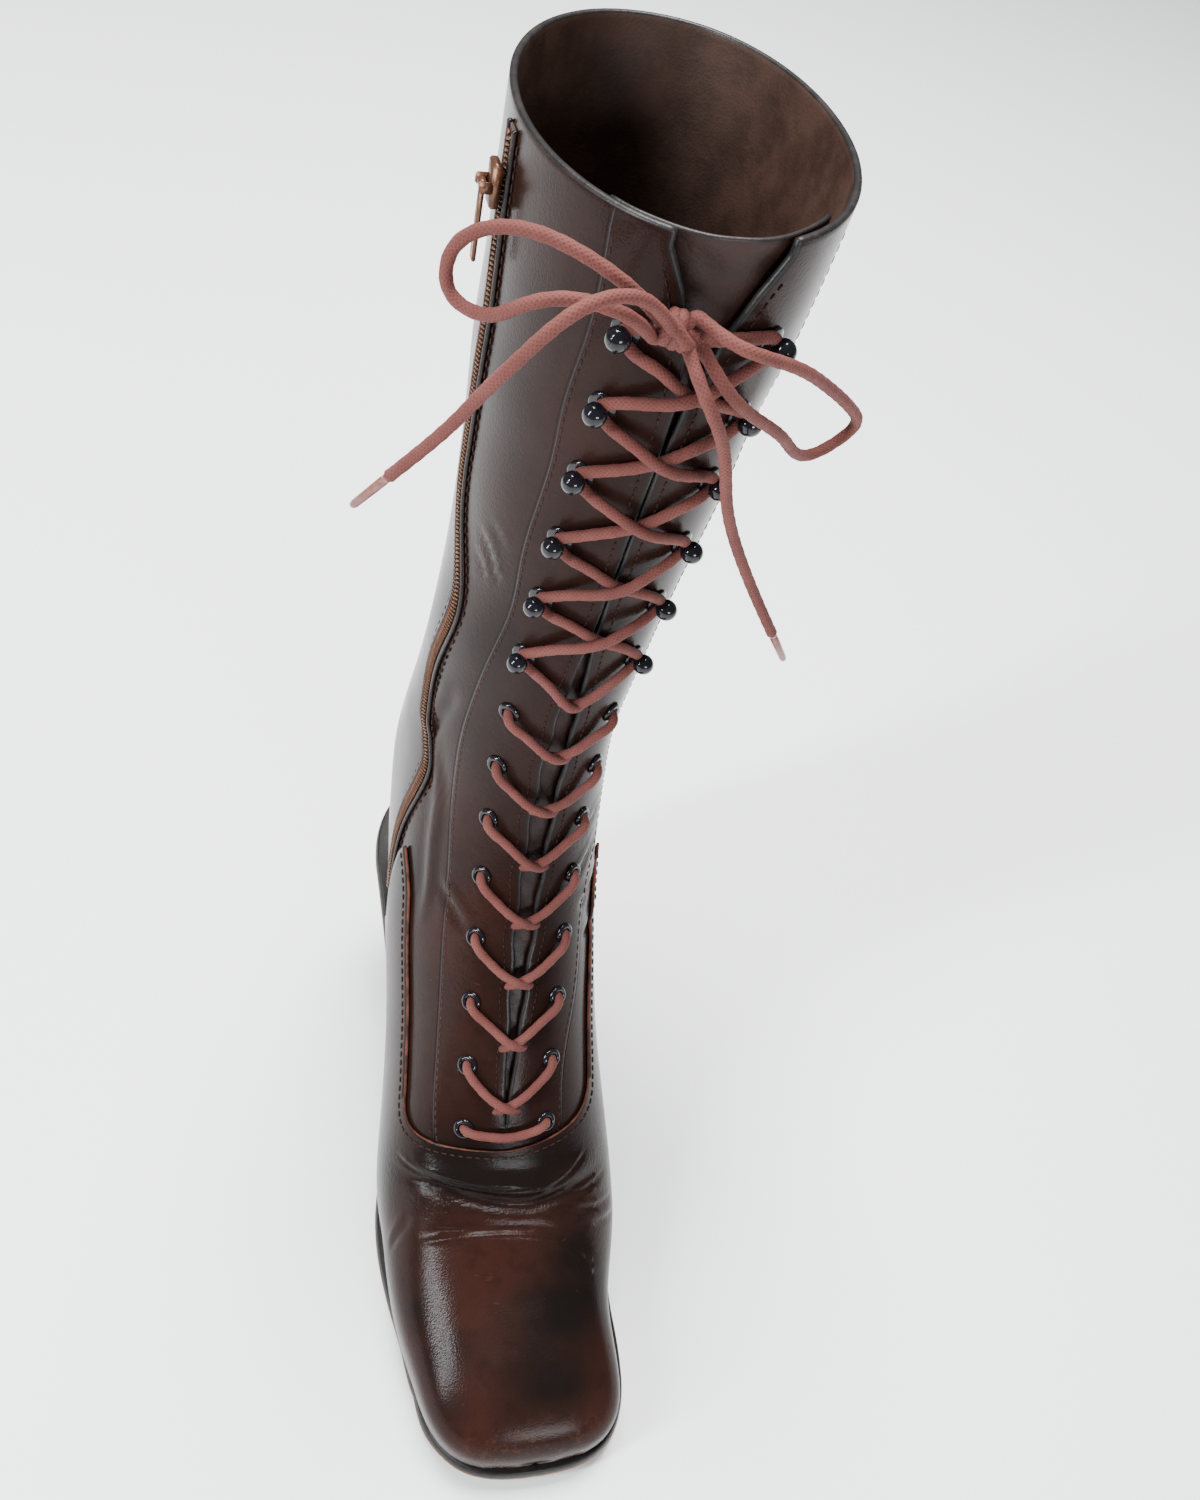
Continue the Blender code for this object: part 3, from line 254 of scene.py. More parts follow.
def eased(value, low, high):
    """0 below low and 1 above high, smoothly between them."""
    share = clamped((np.asarray(value, float) - low) / (high - low))
    return share * share * (3 - 2 * share)


def round_off(share, power):
    """A rounded end: 1 at share 0 and 0 at share 1."""
    return (1 - share ** power) ** (1 / power)


def unit(vectors):
    return vectors / np.linalg.norm(vectors, axis=-1, keepdims=True)


def lengths_along(points):
    """Length from the first point to each point of a line."""
    return np.concatenate([[0.0], np.cumsum(np.linalg.norm(np.diff(points, axis=0), axis=1))])


def spline_through(places, values):
    """A cubic spline through rows of values, without bending at its ends."""
    t = np.asarray(places, float)
    y = np.asarray(values, float)
    n = len(t)
    h = np.diff(t)
    matrix = np.zeros((n, n))
    side = np.zeros_like(y)
    matrix[0, 0] = matrix[-1, -1] = 1.0
    for i in range(1, n - 1):
        matrix[i, i - 1:i + 2] = h[i - 1], 2 * (h[i - 1] + h[i]), h[i]
        side[i] = 6 * ((y[i + 1] - y[i]) / h[i] - (y[i] - y[i - 1]) / h[i - 1])
    bend = np.linalg.solve(matrix, side)

    def at(q):
        q = np.asarray(q, float).ravel()
        i = np.clip(np.searchsorted(t, q) - 1, 0, n - 2)
        left = ((t[i + 1] - q) / h[i])[:, None]
        right = ((q - t[i]) / h[i])[:, None]
        curl = (h[i] ** 2)[:, None] / 6
        return (left * y[i] + right * y[i + 1]
                + ((left ** 3 - left) * bend[i] + (right ** 3 - right) * bend[i + 1]) * curl)
    return at


TABLE = np.array(SECTIONS)
PLACES = TOE_ROW + np.concatenate(
    [[0.0], np.cumsum(np.hypot(np.diff(TABLE[:, 0]), np.diff(TABLE[:, 1])))])
SECTION_AT = spline_through(PLACES, TABLE)
COLLAR = PLACES[-1]

# Where the leather starts behind the toe's tip, and the steps over which directions are measured
START = TOE_TIP + 0.05
LOWEST = TOE_TIP + 0.01
STEP_UP = 0.4
STEP_ROUND = 0.01
SLOPE_STEP = 4.0


def section(v):
    """The section's numbers at each place v along the front."""
    v = np.asarray(v, float)
    rows = SECTION_AT(np.maximum(v, TOE_ROW)).reshape(v.shape + (len(COLUMNS),))
    row = {name: rows[..., i] for i, name in enumerate(COLUMNS)}
    first, second = SECTION_AT([TOE_ROW, TOE_ROW + SLOPE_STEP])
    slope = dict(zip(COLUMNS, (second - first) / SLOPE_STEP))
    short = np.maximum(TOE_ROW - v, 0.0)
    share = clamped((v - TOE_TIP) / (TOE_ROW - TOE_TIP))
    plan = round_off(1 - share, TOE_SQUARE)
    for name in ("inner", "outer"):
        row[name] = (row[name] - slope[name] * short) * plan
    for name in ("x_front", "x_back"):
        row[name] = row[name] - slope[name] * short
    for name in ("front_y", "back_y"):
        row[name] = np.where(short > 0, v, row[name])
    high = row["front_z"] - slope["front_z"] * short
    low = row["back_z"] + TOE_SPRING * short ** 1.5
    row["front_z"] = TOE_TIP_HEIGHT + (high - TOE_TIP_HEIGHT) * round_off(1 - share, TOE_TOP_ROUND)
    row["back_z"] = TOE_TIP_HEIGHT + (low - TOE_TIP_HEIGHT) * round_off(1 - share, TOE_FOOT_ROUND)
    return row


def last_point(v, u):
    """Points of the last; u is 0 in front and +-pi at the back, positive on the outer side."""
    v, u = np.broadcast_arrays(np.asarray(v, float), np.asarray(u, float))
    row = section(v)
    front = np.cos(u) >= 0.0
    power = np.where(front, row["square_front"], row["square_back"])
    sine = np.abs(np.sin(u))
    cosine = np.abs(np.cos(u))
    reach = (sine ** power + cosine ** power) ** (1 / power)
    sine = sine / reach
    cosine = cosine / reach
    widest = row["widest"]
    along = np.where(front, widest * (1 - cosine), widest + (1 - widest) * cosine)
    narrow = 1 - row["tuck"] * np.where(front, 0.0, cosine) ** 1.5
    half = np.where(np.sin(u) >= 0.0, row["outer"], -row["inner"]) * narrow
    x = row["x_front"] + (row["x_back"] - row["x_front"]) * along + half * sine
    y = row["front_y"] + (row["back_y"] - row["front_y"]) * along
    z = row["front_z"] + (row["back_z"] - row["front_z"]) * along
    return np.stack([x, y, z], -1)


def last_frame(v, u):
    """Point, direction up the last, direction round it and outward normal."""
    v, u = np.asarray(v, float), np.asarray(u)
    up = last_point(v + STEP_UP, u) - last_point(np.maximum(v - STEP_UP, LOWEST), u)
    round_it = last_point(v, u + STEP_ROUND) - last_point(v, u - STEP_ROUND)
    normal = unit(np.cross(round_it, up))
    up = unit(up)
    return last_point(v, u), up, np.cross(up, normal), normal


# The leather of the toe leans to the inner side: in full up to one place, then less up to another
TOE_LEAN = 3.2
LEAN_FULL = 42.0
LEAN_FROM = 84.0


def over_last(v, u, height):
    """Points at a height over the last's surface, below it where the height is negative."""
    point, _, _, normal = last_frame(v, u)
    points = point + normal * np.asarray(height, float)[..., None]
    points[..., 0] -= TOE_LEAN * eased(LEAN_FROM - np.asarray(v, float), 0.0, LEAN_FROM - LEAN_FULL)
    return points


def along_stops(stops, count):
    """Places and angles at even steps through stops of (place, degrees)."""
    stops = np.array(stops, float)
    knots = np.linspace(0.0, 1.0, len(stops))
    route = spline_through(knots, stops)(np.linspace(0.0, 1.0, count))
    return route[:, 0], np.radians(route[:, 1])


# How many points are measured at once
BLOCK = 4000


def nearest(points, line):
    """For each point, the distance to a line of points and the index there."""
    index = np.empty(len(points), int)
    away = np.empty(len(points))
    for start in range(0, len(points), BLOCK):
        block = slice(start, start + BLOCK)
        square = ((points[block][:, None, :] - line[None, :, :]) ** 2).sum(-1)
        index[block] = square.argmin(1)
        away[block] = np.sqrt(square.min(1))
    return away, index


# How far a fold reaches, the points along it, the share of it that fades at each end, and the angles
# from the front between which the soft waves begin
FOLD_REACH = 16.0
FOLD_POINTS = 90
FOLD_FADE = 0.3
CALM_FROM, CALM_FULL = 0.5, 1.0


def relief(v, u):
    """Height of the folds and soft waves over the last's plain surface."""
    v, u = np.broadcast_arrays(np.asarray(v, float), np.asarray(u, float))
    shape = v.shape
    v, u = v.ravel(), u.ravel()
    points = last_point(v, u)
    height = np.zeros(len(v))
    for stops, depth, width, ridge, ridge_place, ridge_width in FOLDS:
        line_v, line_u = along_stops(stops, FOLD_POINTS)
        line = last_point(line_v, line_u)
        low, high = line.min(0) - FOLD_REACH, line.max(0) + FOLD_REACH
        near = np.flatnonzero(((points > low) & (points < high)).all(1))
        if not len(near):
            continue
        away, index = nearest(points[near], line)
        share = index / (FOLD_POINTS - 1)
        fade = eased(share, 0.0, FOLD_FADE) * eased(1 - share, 0.0, FOLD_FADE)
        signed = away * np.sign(v[near] - line_v[index])
        trough = -depth * np.exp(-(away / width) ** 2)
        rise = ridge * np.exp(-((signed - ridge_place) / ridge_width) ** 2)
        height[near] += (trough + rise) * fade
    swell = eased(v, WAVE_FROM, WAVE_FULL) * eased(WAVE_END - v, 0.0, WAVE_END - WAVE_FADE)
    calm = eased(np.abs(u), CALM_FROM, CALM_FULL)
    for size, turns, length, phase in WAVES:
        height += swell * calm * size * np.sin(turns * u + phase) * np.sin(2 * math.pi * v / length + phase)
    return height.reshape(shape)


def over_skin(v, u, height):
    """Points at a height over the folded leather."""
    return over_last(v, u, relief(v, u) + height)


def patches(v, u, table):
    """Strength of soft round patches at each place of the skin."""
    points = last_point(v, u)
    total = np.zeros(np.shape(points)[:-1])
    for place, degrees, radius, strength in table:
        centre = last_point(float(place), math.radians(degrees))
        away = np.linalg.norm(points - centre, axis=-1)
        total = total + strength * np.exp(-(away / radius) ** 2)
    return clamped(total)


# The underside of the foot, from the toe's first section to the section at the back of the heel
HEEL_SECTION = 10
FOOT_PLACES = np.linspace(TOE_ROW, PLACES[HEEL_SECTION], 400)
FOOT_LINE = last_point(FOOT_PLACES, math.pi)
FOOT_ROWS = section(FOOT_PLACES)
SEAT_STEP = 8.0


def foot_line(y):
    """Height of the last's underside at y; behind the seat it runs on straight."""
    y = np.asarray(y, float)
    inside = np.interp(y, FOOT_LINE[:, 1], FOOT_LINE[:, 2])
    at_end, before = np.interp((SEAT_END, SEAT_END - SEAT_STEP), FOOT_LINE[:, 1], FOOT_LINE[:, 2])
    behind = at_end + (at_end - before) / SEAT_STEP * (y - SEAT_END)
    height = np.where(y > SEAT_END, behind, inside)
    return height + TOE_SPRING * np.maximum(TOE_ROW - y, 0.0) ** 1.5


def foot_sides(y, margin):
    """Inner and outer x of the last's underside at y, widened by a margin."""
    y = np.asarray(y, float)
    v = np.interp(np.minimum(y, SEAT_START), FOOT_ROWS["back_y"], FOOT_PLACES)
    row = section(v)
    middle = row["x_back"]
    ends = [middle - row["inner"] * (1 - row["tuck"]) - margin,
            middle + row["outer"] * (1 - row["tuck"]) + margin]
    toe = clamped((y + margin - SOLE_EDGE) / TOE_ROW)
    heel = clamped((y - SEAT_START) / (SEAT_BACK + margin - SEAT_START))
    plan = round_off(1 - toe, SOLE_SQUARE) * round_off(heel, SEAT_ROUND)
    return [middle + (end - middle) * plan for end in ends]


def sole_underside(y):
    """The floor side of the sole, with one flat stretch under the ball of the foot."""
    y = np.asarray(y, float)
    height = foot_line(y) - GAP - SOLE_THICKNESS
    return np.where((y >= FLAT_FROM) & (y <= FLAT_TO), 0.0, np.maximum(height, 0.0))


# How far the lace draws the throat's edge in, and the largest sine of the edge's angle
EDGE_PULL = 0.45
EDGE_ANGLE_SINE = 0.34


def throat_edge(v):
    """Angle of the throat's edge, from half of its gap, drawn in a little at each crossing."""
    half = np.interp(v, *zip(*THROAT_GAP))
    row = np.interp(v, ROW_PLACES, np.arange(len(ROW_PLACES)))
    pull = EDGE_PULL * eased(v, 120.0, 150.0) * eased(270.0 - v, 0.0, 20.0) * np.cos(2 * math.pi * row)
    return np.arcsin(np.minimum((half + pull) / np.maximum(section(v)["inner"], 1.0), EDGE_ANGLE_SINE))


def row_angle(row, side):
    half = float(section(np.array(ROW_PLACES[row]))["outer" if side > 0 else "inner"])
    return side * math.asin(HALF_CHORDS[row] / half)


def zip_angle(v):
    route = np.array(ZIP_ROUTE[::-1])
    return np.radians(spline_through(route[:, 0], route[:, 1:])(v)[:, 0])


def world(points):
    return (np.asarray(points, float) - ORIGIN) * MM


def smooth_route(points, step):
    """Points about a step apart on a smooth curve through the route's points."""
    points = np.asarray(points, float)
    knots = lengths_along(points)
    count = max(3, int(round(knots[-1] / step)) + 1)
    return spline_through(knots, points)(np.linspace(0.0, knots[-1], count))


# Meshes

# Points nearer than this, in metres, are one, and edges that bend more than this, in degrees, are sharp
SAME_PLACE = 1e-7
SHARP_EDGE = 50.0


def face_grid(rows, columns, keep, wrap=False):
    """Quads of a grid where keep holds, facing out where columns run round the boot and rows up it."""
    i, j = np.meshgrid(np.arange(rows - 1), np.arange(columns if wrap else columns - 1), indexing="ij")
    chosen = keep[i, j] if keep is not None else np.ones(i.shape, bool)
    i, j = i[chosen], j[chosen]
    k = (j + 1) % columns
    return np.stack([i * columns + j, i * columns + k, (i + 1) * columns + k, (i + 1) * columns + j], 1)


def link(name, data):
    """A new object in the scene."""
    item = bpy.data.objects.new(name, data)
    bpy.context.scene.collection.objects.link(item)
    return item


def add_mesh(name, points, faces, materials, slots=None, numbers=None, uv=None):
    """A smooth mesh object from points in metres, with numbers kept at its points for the materials."""
    mesh = bpy.data.meshes.new(name)
    mesh.from_pydata([tuple(p) for p in points], [], [tuple(int(i) for i in face) for face in faces])
    for material in materials:
        mesh.materials.append(material)
    if slots is not None:
        mesh.polygons.foreach_set("material_index", np.asarray(slots, np.int32))
    mesh.polygons.foreach_set("use_smooth", np.ones(len(mesh.polygons), bool))
    for key, values in (numbers or {}).items():
        layer = mesh.attributes.new(key, "FLOAT", "POINT")
        layer.data.foreach_set("value", np.asarray(values, np.float32).ravel())
    if uv is not None:
        layer = mesh.uv_layers.new(name="UVMap")
        layer.data.foreach_set("uv", np.asarray(uv, np.float32).ravel())
    mesh.validate()
    mesh.update()
    return link(name, mesh)


def face_outwards(piece, merge=False):
    """Turns the faces outwards, and joins points that lie on each other where merge says so."""
    form = bmesh.new()
    form.from_mesh(piece.data)
    if merge:
        bmesh.ops.remove_doubles(form, verts=form.verts, dist=SAME_PLACE)
    bmesh.ops.recalc_face_normals(form, faces=form.faces)
    form.to_mesh(piece.data)
    form.free()
    return piece


def edge_loops(faces):
    """The next and the previous boundary point of each boundary point."""
    starts = np.concatenate([faces[:, k] for k in range(faces.shape[1])])
    ends = np.concatenate([faces[:, (k + 1) % faces.shape[1]] for k in range(faces.shape[1])])
    seen = set(zip(starts.tolist(), ends.tolist()))
    rim = [(a, b) for a, b in seen if (b, a) not in seen]
    after = {a: b for a, b in rim}
    before = {b: a for a, b in rim}
    return sorted(rim), after, before


def leather_sheet(name, outside, inside, faces, materials, numbers, roll=0.8, steps=5):
    """A closed sheet with rounded edges. Its faces take the outer, edge and inner materials."""
    outside = outside.reshape(-1, 3)
    inside = inside.reshape(-1, 3)
    count = len(outside)
    rim, after, before = edge_loops(faces)
    index = {a: k for k, a in enumerate(sorted(after))}
    order = np.array(sorted(after))
    ahead = outside[[after[a] for a in order]] - outside[[before.get(a, a) for a in order]]
    thick = outside[order] - inside[order]
    away = np.cross(ahead, thick)
    away = away / np.maximum(np.linalg.norm(away, axis=1, keepdims=True), 1e-9)
    half = np.linalg.norm(thick, axis=1, keepdims=True) / 2
    middle = (outside[order] + inside[order]) / 2
    points = [outside, inside]
    for k in range(1, steps):
        turn = math.pi * k / steps
        points.append(middle + thick / 2 * math.cos(turn) + away * half * roll * math.sin(turn))
    start = 2 * count

    def ring(k, a):
        if k == 0:
            return a
        if k == steps:
            return a + count
        return start + (k - 1) * len(order) + index[a]

    edge = [(ring(k, b), ring(k, a), ring(k + 1, a), ring(k + 1, b)) for a, b in rim for k in range(steps)]
    back = faces[:, ::-1] + count
    everything = np.concatenate([faces, back, np.array(edge)])
    slots = np.concatenate([np.zeros(len(faces)), np.full(len(back), 2), np.full(len(edge), 1)])
    spread = {}
    for key, values in numbers.items():
        values = np.asarray(values, float).ravel()
        spread[key] = np.concatenate([values, values] + [values[order]] * (steps - 1))
    return add_mesh(name, world(np.concatenate(points)), everything, materials, slots, spread)


def framed_line(points):
    """Directions along a line of points, and two across it that turn as little as they can."""
    points = np.asarray(points, float)
    ahead = unit(np.gradient(points, axis=0))
    first = np.array(Vector(ahead[0]).orthogonal().normalized())
    normals = [first]
    for direction in ahead[1:]:
        normal = normals[-1] - direction * normals[-1].dot(direction)
        normals.append(unit(normal))
    normals = np.array(normals)
    return ahead, normals, np.cross(ahead, normals)


def tube_parts(points, radius, sides=14, rounded=True):
    """Points, faces and face corners' (length, turn) of a round cord, in millimetres."""
    points = np.asarray(points, float)
    ahead, first, second = framed_line(points)
    length = lengths_along(points)
    uneven = 0.03 * np.sin(length * 1.3) + 0.02 * np.sin(length * 2.9 + 1.0)
    size = np.full(len(points), radius) * (1 + uneven)
    if rounded:
        tips = (points[:1] - ahead[:1] * radius * 0.5, points[-1:] + ahead[-1:] * radius * 0.5)
        for end, line in zip((0, -1), tips):
            at = 0 if end == 0 else len(points)
            points = np.insert(points, at, line, axis=0)
            first = np.insert(first, at, first[end], axis=0)
            second = np.insert(second, at, second[end], axis=0)
            size = np.insert(size, at, radius * 0.55)
            length = np.insert(length, at, length[end] + (radius if end else -radius) * 0.5)
    turns = 2 * math.pi * np.arange(sides) / sides
    ring = first[:, None] * np.cos(turns)[:, None] + second[:, None] * np.sin(turns)[:, None]
    cloud = (points[:, None] + ring * size[:, None, None]).reshape(-1, 3)
    faces = face_grid(len(points), sides, None, wrap=True)
    column = faces[:, 0] % sides
    row = faces[:, 0] // sides
    corners = ((0, 0), (0, 1), (1, 1), (1, 0))
    uv = np.stack([np.stack([length[row + i], (column + j) / sides], -1) for i, j in corners], 1)
    caps = [list(range(sides))[::-1], [len(cloud) - sides + k for k in range(sides)]]
    cap_uv = [[(length[0], 0.0)] * sides, [(length[-1], 0.0)] * sides]
    return cloud, [list(f) for f in faces] + caps, [list(map(tuple, f)) for f in uv] + cap_uv


def add_tubes(name, routes, radius, material, sides=14):
    """One piece from several round cords along lines of points."""
    points, faces, uv = [], [], []
    for route in routes:
        start = sum(len(p) for p in points)
        cloud, made, corners = tube_parts(route, radius, sides)
        points.append(cloud)
        faces += [[i + start for i in face] for face in made]
        uv += [corner for face in corners for corner in face]
    return add_mesh(name, world(np.concatenate(points)), faces, [material], uv=np.array(uv))


def bead_shape(around=8, along=5):
    """A small capsule along x, one unit long, wide and high."""
    points = []
    for i in range(1, along):
        turn = math.pi * i / along
        for k in range(around):
            side = 2 * math.pi * k / around
            swell = 0.5 * math.sin(turn) ** 0.55
            points.append((-0.5 * math.cos(turn), swell * math.cos(side), swell * math.sin(side)))
    faces = []
    for i in range(along - 2):
        for k in range(around):
            n = (k + 1) % around
            faces.append((i * around + k, (i + 1) * around + k, (i + 1) * around + n, i * around + n))
    faces.append(tuple(range(around)))
    faces.append(tuple((along - 2) * around + k for k in reversed(range(around))))
    return np.array(points), faces


BEAD_POINTS, BEAD_FACES = bead_shape()


def add_beads(name, centres, ahead, normal, size, material, uneven=0.0):
    """One piece from small capsules that lie along a surface."""
    ahead = unit(ahead - normal * (ahead * normal).sum(-1, keepdims=True))
    across = np.cross(normal, ahead)
    turn = uneven * np.sin(np.arange(len(centres)) * 2.4)[:, None]
    ahead, across = ahead + across * turn, across - ahead * turn
    shape = BEAD_POINTS * np.array(size)
    cloud = (centres[:, None] + ahead[:, None] * shape[None, :, :1] + across[:, None] * shape[None, :, 1:2]
             + normal[:, None] * shape[None, :, 2:])
    faces = [tuple(i + k * len(shape) for i in face) for k in range(len(centres)) for face in BEAD_FACES]
    return add_mesh(name, world(cloud.reshape(-1, 3)), faces, [material])


def even_places(v, u, height, pitch):
    """Places and angles at an even pitch along a line over the skin."""
    line = over_skin(v, u, height)
    length = lengths_along(line)
    at = np.arange(pitch / 2, length[-1], pitch)
    return np.interp(at, length, v), np.interp(at, length, u)


def stitch_line(v, u, height, pitch=STITCH_PITCH):
    """Centres, directions and normals of a row of stitches."""
    v, u = even_places(v, u, height, pitch)
    centres = over_skin(v, u, height)
    ahead = over_skin(v + 0.01, u + 0.0, height) - centres
    if len(v) > 1:
        ahead = np.gradient(centres, axis=0)
    _, _, _, normal = last_frame(v, u)
    return centres, ahead, normal


def add_stitches(name, lines, material, size=(STITCH_LENGTH, STITCH_WIDTH, STITCH_HEIGHT)):
    """A piece of stitches along several lines of (v, u, height)."""
    parts = [stitch_line(*line) for line in lines]
    centres, ahead, normal = (np.concatenate([part[k] for part in parts]) for k in range(3))
    return add_beads(name, centres, ahead, normal, size, material, uneven=0.08)


def turned(name, profile, sides, material, closed):
    """A turned piece round z from (radius, height); closed makes a ring."""
    rings = [p for p in profile if closed or p[0] > 0]
    turns = 2 * math.pi * np.arange(sides) / sides
    points = np.array([(r * math.cos(t), r * math.sin(t), h) for r, h in rings for t in turns]) * MM
    count = len(rings)
    faces = []
    for i in range(count if closed else count - 1):
        for k in range(sides):
            n = (k + 1) % sides
            a, b = i * sides, (i + 1) % count * sides
            faces.append((a + k, a + n, b + n, b + k))
    if not closed:
        faces.append(tuple(reversed(range(sides))))
        faces.append(tuple(range((count - 1) * sides, count * sides)))
    return face_outwards(add_mesh(name, points, faces, [material]))


def seat(v, u, height):
    """A matrix on the skin: x round it, y up it, z outward."""
    _, up, round_it, normal = last_frame(float(v), float(u))
    place = Matrix(np.column_stack([round_it, up, normal]).tolist()).to_4x4()
    place.translation = Vector(world(over_skin(float(v), float(u), height)))
    return place


# Colours, most of them pairs that a soft noise blends
DEEP_BROWN = (0.0125, 0.0056, 0.0043)
RED_BROWN = (0.0215, 0.0080, 0.0058)
# Near black: the leather's black patches and the zip's lips, and the painted shade in the wrinkles' valleys
BLACK_TONE_AND_CREASE_SHADE = (0.0058, 0.0042, 0.0037)
SCRATCH_BROWN = (0.05, 0.022, 0.015)
SCUFF_BROWN = (0.05, 0.018, 0.010)
EDGE_INK = (0.011, 0.010, 0.0105)
SEAM_SHADOW = (0.008, 0.006, 0.006)
LINING_PAIR = ((0.026, 0.013, 0.009), (0.045, 0.022, 0.015))
TONGUE_PAIR = ((0.012, 0.0055, 0.0042), (0.024, 0.0095, 0.007))
INSOLE_PAIR = ((0.20, 0.12, 0.075), (0.30, 0.19, 0.12))
LIP_PAIR = (DEEP_BROWN, BLACK_TONE_AND_CREASE_SHADE)
BLACK_EDGE_PAIR = ((0.008, 0.007, 0.007), (0.018, 0.014, 0.013))
RAW_EDGE_PAIR = ((0.036, 0.0125, 0.0078), (0.12, 0.040, 0.022))
THREAD_DARK = (0.026, 0.0115, 0.0085)
THREAD_TAN = (0.042, 0.0185, 0.0135)
LACE_PAIR = ((0.108, 0.031, 0.0245), (0.140, 0.044, 0.035))
# Painted shade in the hollows between the strands of the lace's braid
LACE_HOLLOW_SHADE = (0.070, 0.020, 0.016)
BLACK_METAL_PAIR = ((0.006, 0.006, 0.008), (0.03, 0.024, 0.02))
BRONZE_PAIR = ((0.10, 0.045, 0.024), (0.05, 0.024, 0.014))
SOLE_PAIR = ((0.11, 0.055, 0.028), (0.21, 0.115, 0.062))
SOLE_WAX = (0.008, 0.0065, 0.006)
SOLE_FIBRE = (0.05, 0.028, 0.018)
HEEL_PAIR = ((0.010, 0.0065, 0.0055), (0.020, 0.0105, 0.008))
HEEL_LINE = (0.006, 0.004, 0.003)
RUBBER_PAIR = ((0.012, 0.011, 0.011), (0.026, 0.024, 0.023))
TAPE_PAIR = ((0.018, 0.009, 0.006), (0.060, 0.030, 0.019))
AGLET_PAIR = ((0.17, 0.065, 0.045), (0.27, 0.12, 0.085))
FLOOR_PAIR = ((0.83, 0.835, 0.84), (0.86, 0.865, 0.87))

# How strongly the leather reflects, the lace's plait in millimetres and strands, and the heel's layers
LEATHER_SHINE = 0.06
DULL_SHINE = 0.2
PLAIT_LENGTH = 1.25
PLAIT_STRANDS = 8
HEEL_LAYER = 0.0034


class Web:
    """A material's web of nodes. Values are numbers or sockets, and colours are triples or sockets."""

    def __init__(self, name, roughness, **sockets):
        """Numbers for the shader are set on its own sockets."""
        self.material = bpy.data.materials.new(name)
        self.material.use_nodes = True
        self.tree = self.material.node_tree
        self.shader = self.tree.nodes["Principled BSDF"]
        self.shader.inputs["Roughness"].default_value = roughness
        for key, value in sockets.items():
            self.shader.inputs[key.replace("_", " ")].default_value = value
        self.where = self.node("ShaderNodeTexCoord").outputs["Object"]

    def node(self, kind, inputs=None, **settings):
        """Adds a node, with its settings, and its inputs linked or set."""
        made = self.tree.nodes.new(kind)
        for key, value in settings.items():
            setattr(made, key, value)
        for key, value in (inputs or {}).items():
            if isinstance(value, bpy.types.NodeSocket):
                self.tree.links.new(value, made.inputs[key])
            else:
                made.inputs[key].default_value = value
        return made

    def maths(self, operation, *values):
        return self.node("ShaderNodeMath", dict(enumerate(values)), operation=operation).outputs[0]

    def plus(self, first, *others):
        for other in others:
            first = self.maths("ADD", first, other)
        return first

    def times(self, first, *others):
        for other in others:
            first = self.maths("MULTIPLY", first, other)
        return first

    def ramp(self, value, low, high, to_low=0.0, to_high=1.0):
        """A smooth step of a value from low to high."""
        inputs = {"Value": value, "From Min": low, "From Max": high, "To Min": to_low, "To Max": to_high}
        return self.node("ShaderNodeMapRange", inputs, interpolation_type="SMOOTHSTEP").outputs["Result"]

    def blend(self, share, first, second):
        """A colour between two."""
        ends = [c if isinstance(c, bpy.types.NodeSocket) else (*c, 1.0) for c in (first, second)]
        return self.node("ShaderNodeMix", {0: share, 6: ends[0], 7: ends[1]}, data_type="RGBA").outputs[2]

    def number(self, name):
        """A number that the mesh keeps at its points."""
        return self.node("ShaderNodeAttribute", attribute_name=name).outputs["Fac"]

    def spots(self, scale, detail=3.0, roughness=0.5, stretch=None):
        """Soft noise from 0 to 1 at a scale per metre; stretch scales the place first."""
        where = self.where
        if stretch is not None:
            where = self.node("ShaderNodeMapping", {"Vector": where, "Scale": stretch}).outputs[0]
        inputs = {"Vector": where, "Scale": scale, "Detail": detail, "Roughness": roughness}
        return self.node("ShaderNodeTexNoise", inputs).outputs["Fac"]

    def cells(self, scale, feature="F1"):
        """Distance in a pattern of cells at a scale per metre."""
        inputs = {"Vector": self.where, "Scale": scale}
        return self.node("ShaderNodeTexVoronoi", inputs, feature=feature).outputs["Distance"]

    def finish(self, colour, height=None, roughness=None):
        """Links the colour, the relief in millimetres and the roughness, and returns the material."""
        self.tree.links.new(colour, self.shader.inputs["Base Color"])
        if roughness is not None:
            self.tree.links.new(roughness, self.shader.inputs["Roughness"])
        if height is not None:
            made = self.node("ShaderNodeBump", {"Height": height, "Strength": 1.0, "Distance": MM})
            self.tree.links.new(made.outputs[0], self.shader.inputs["Normal"])
        return self.material


def shade(colour, share):
    return [share * part for part in colour]


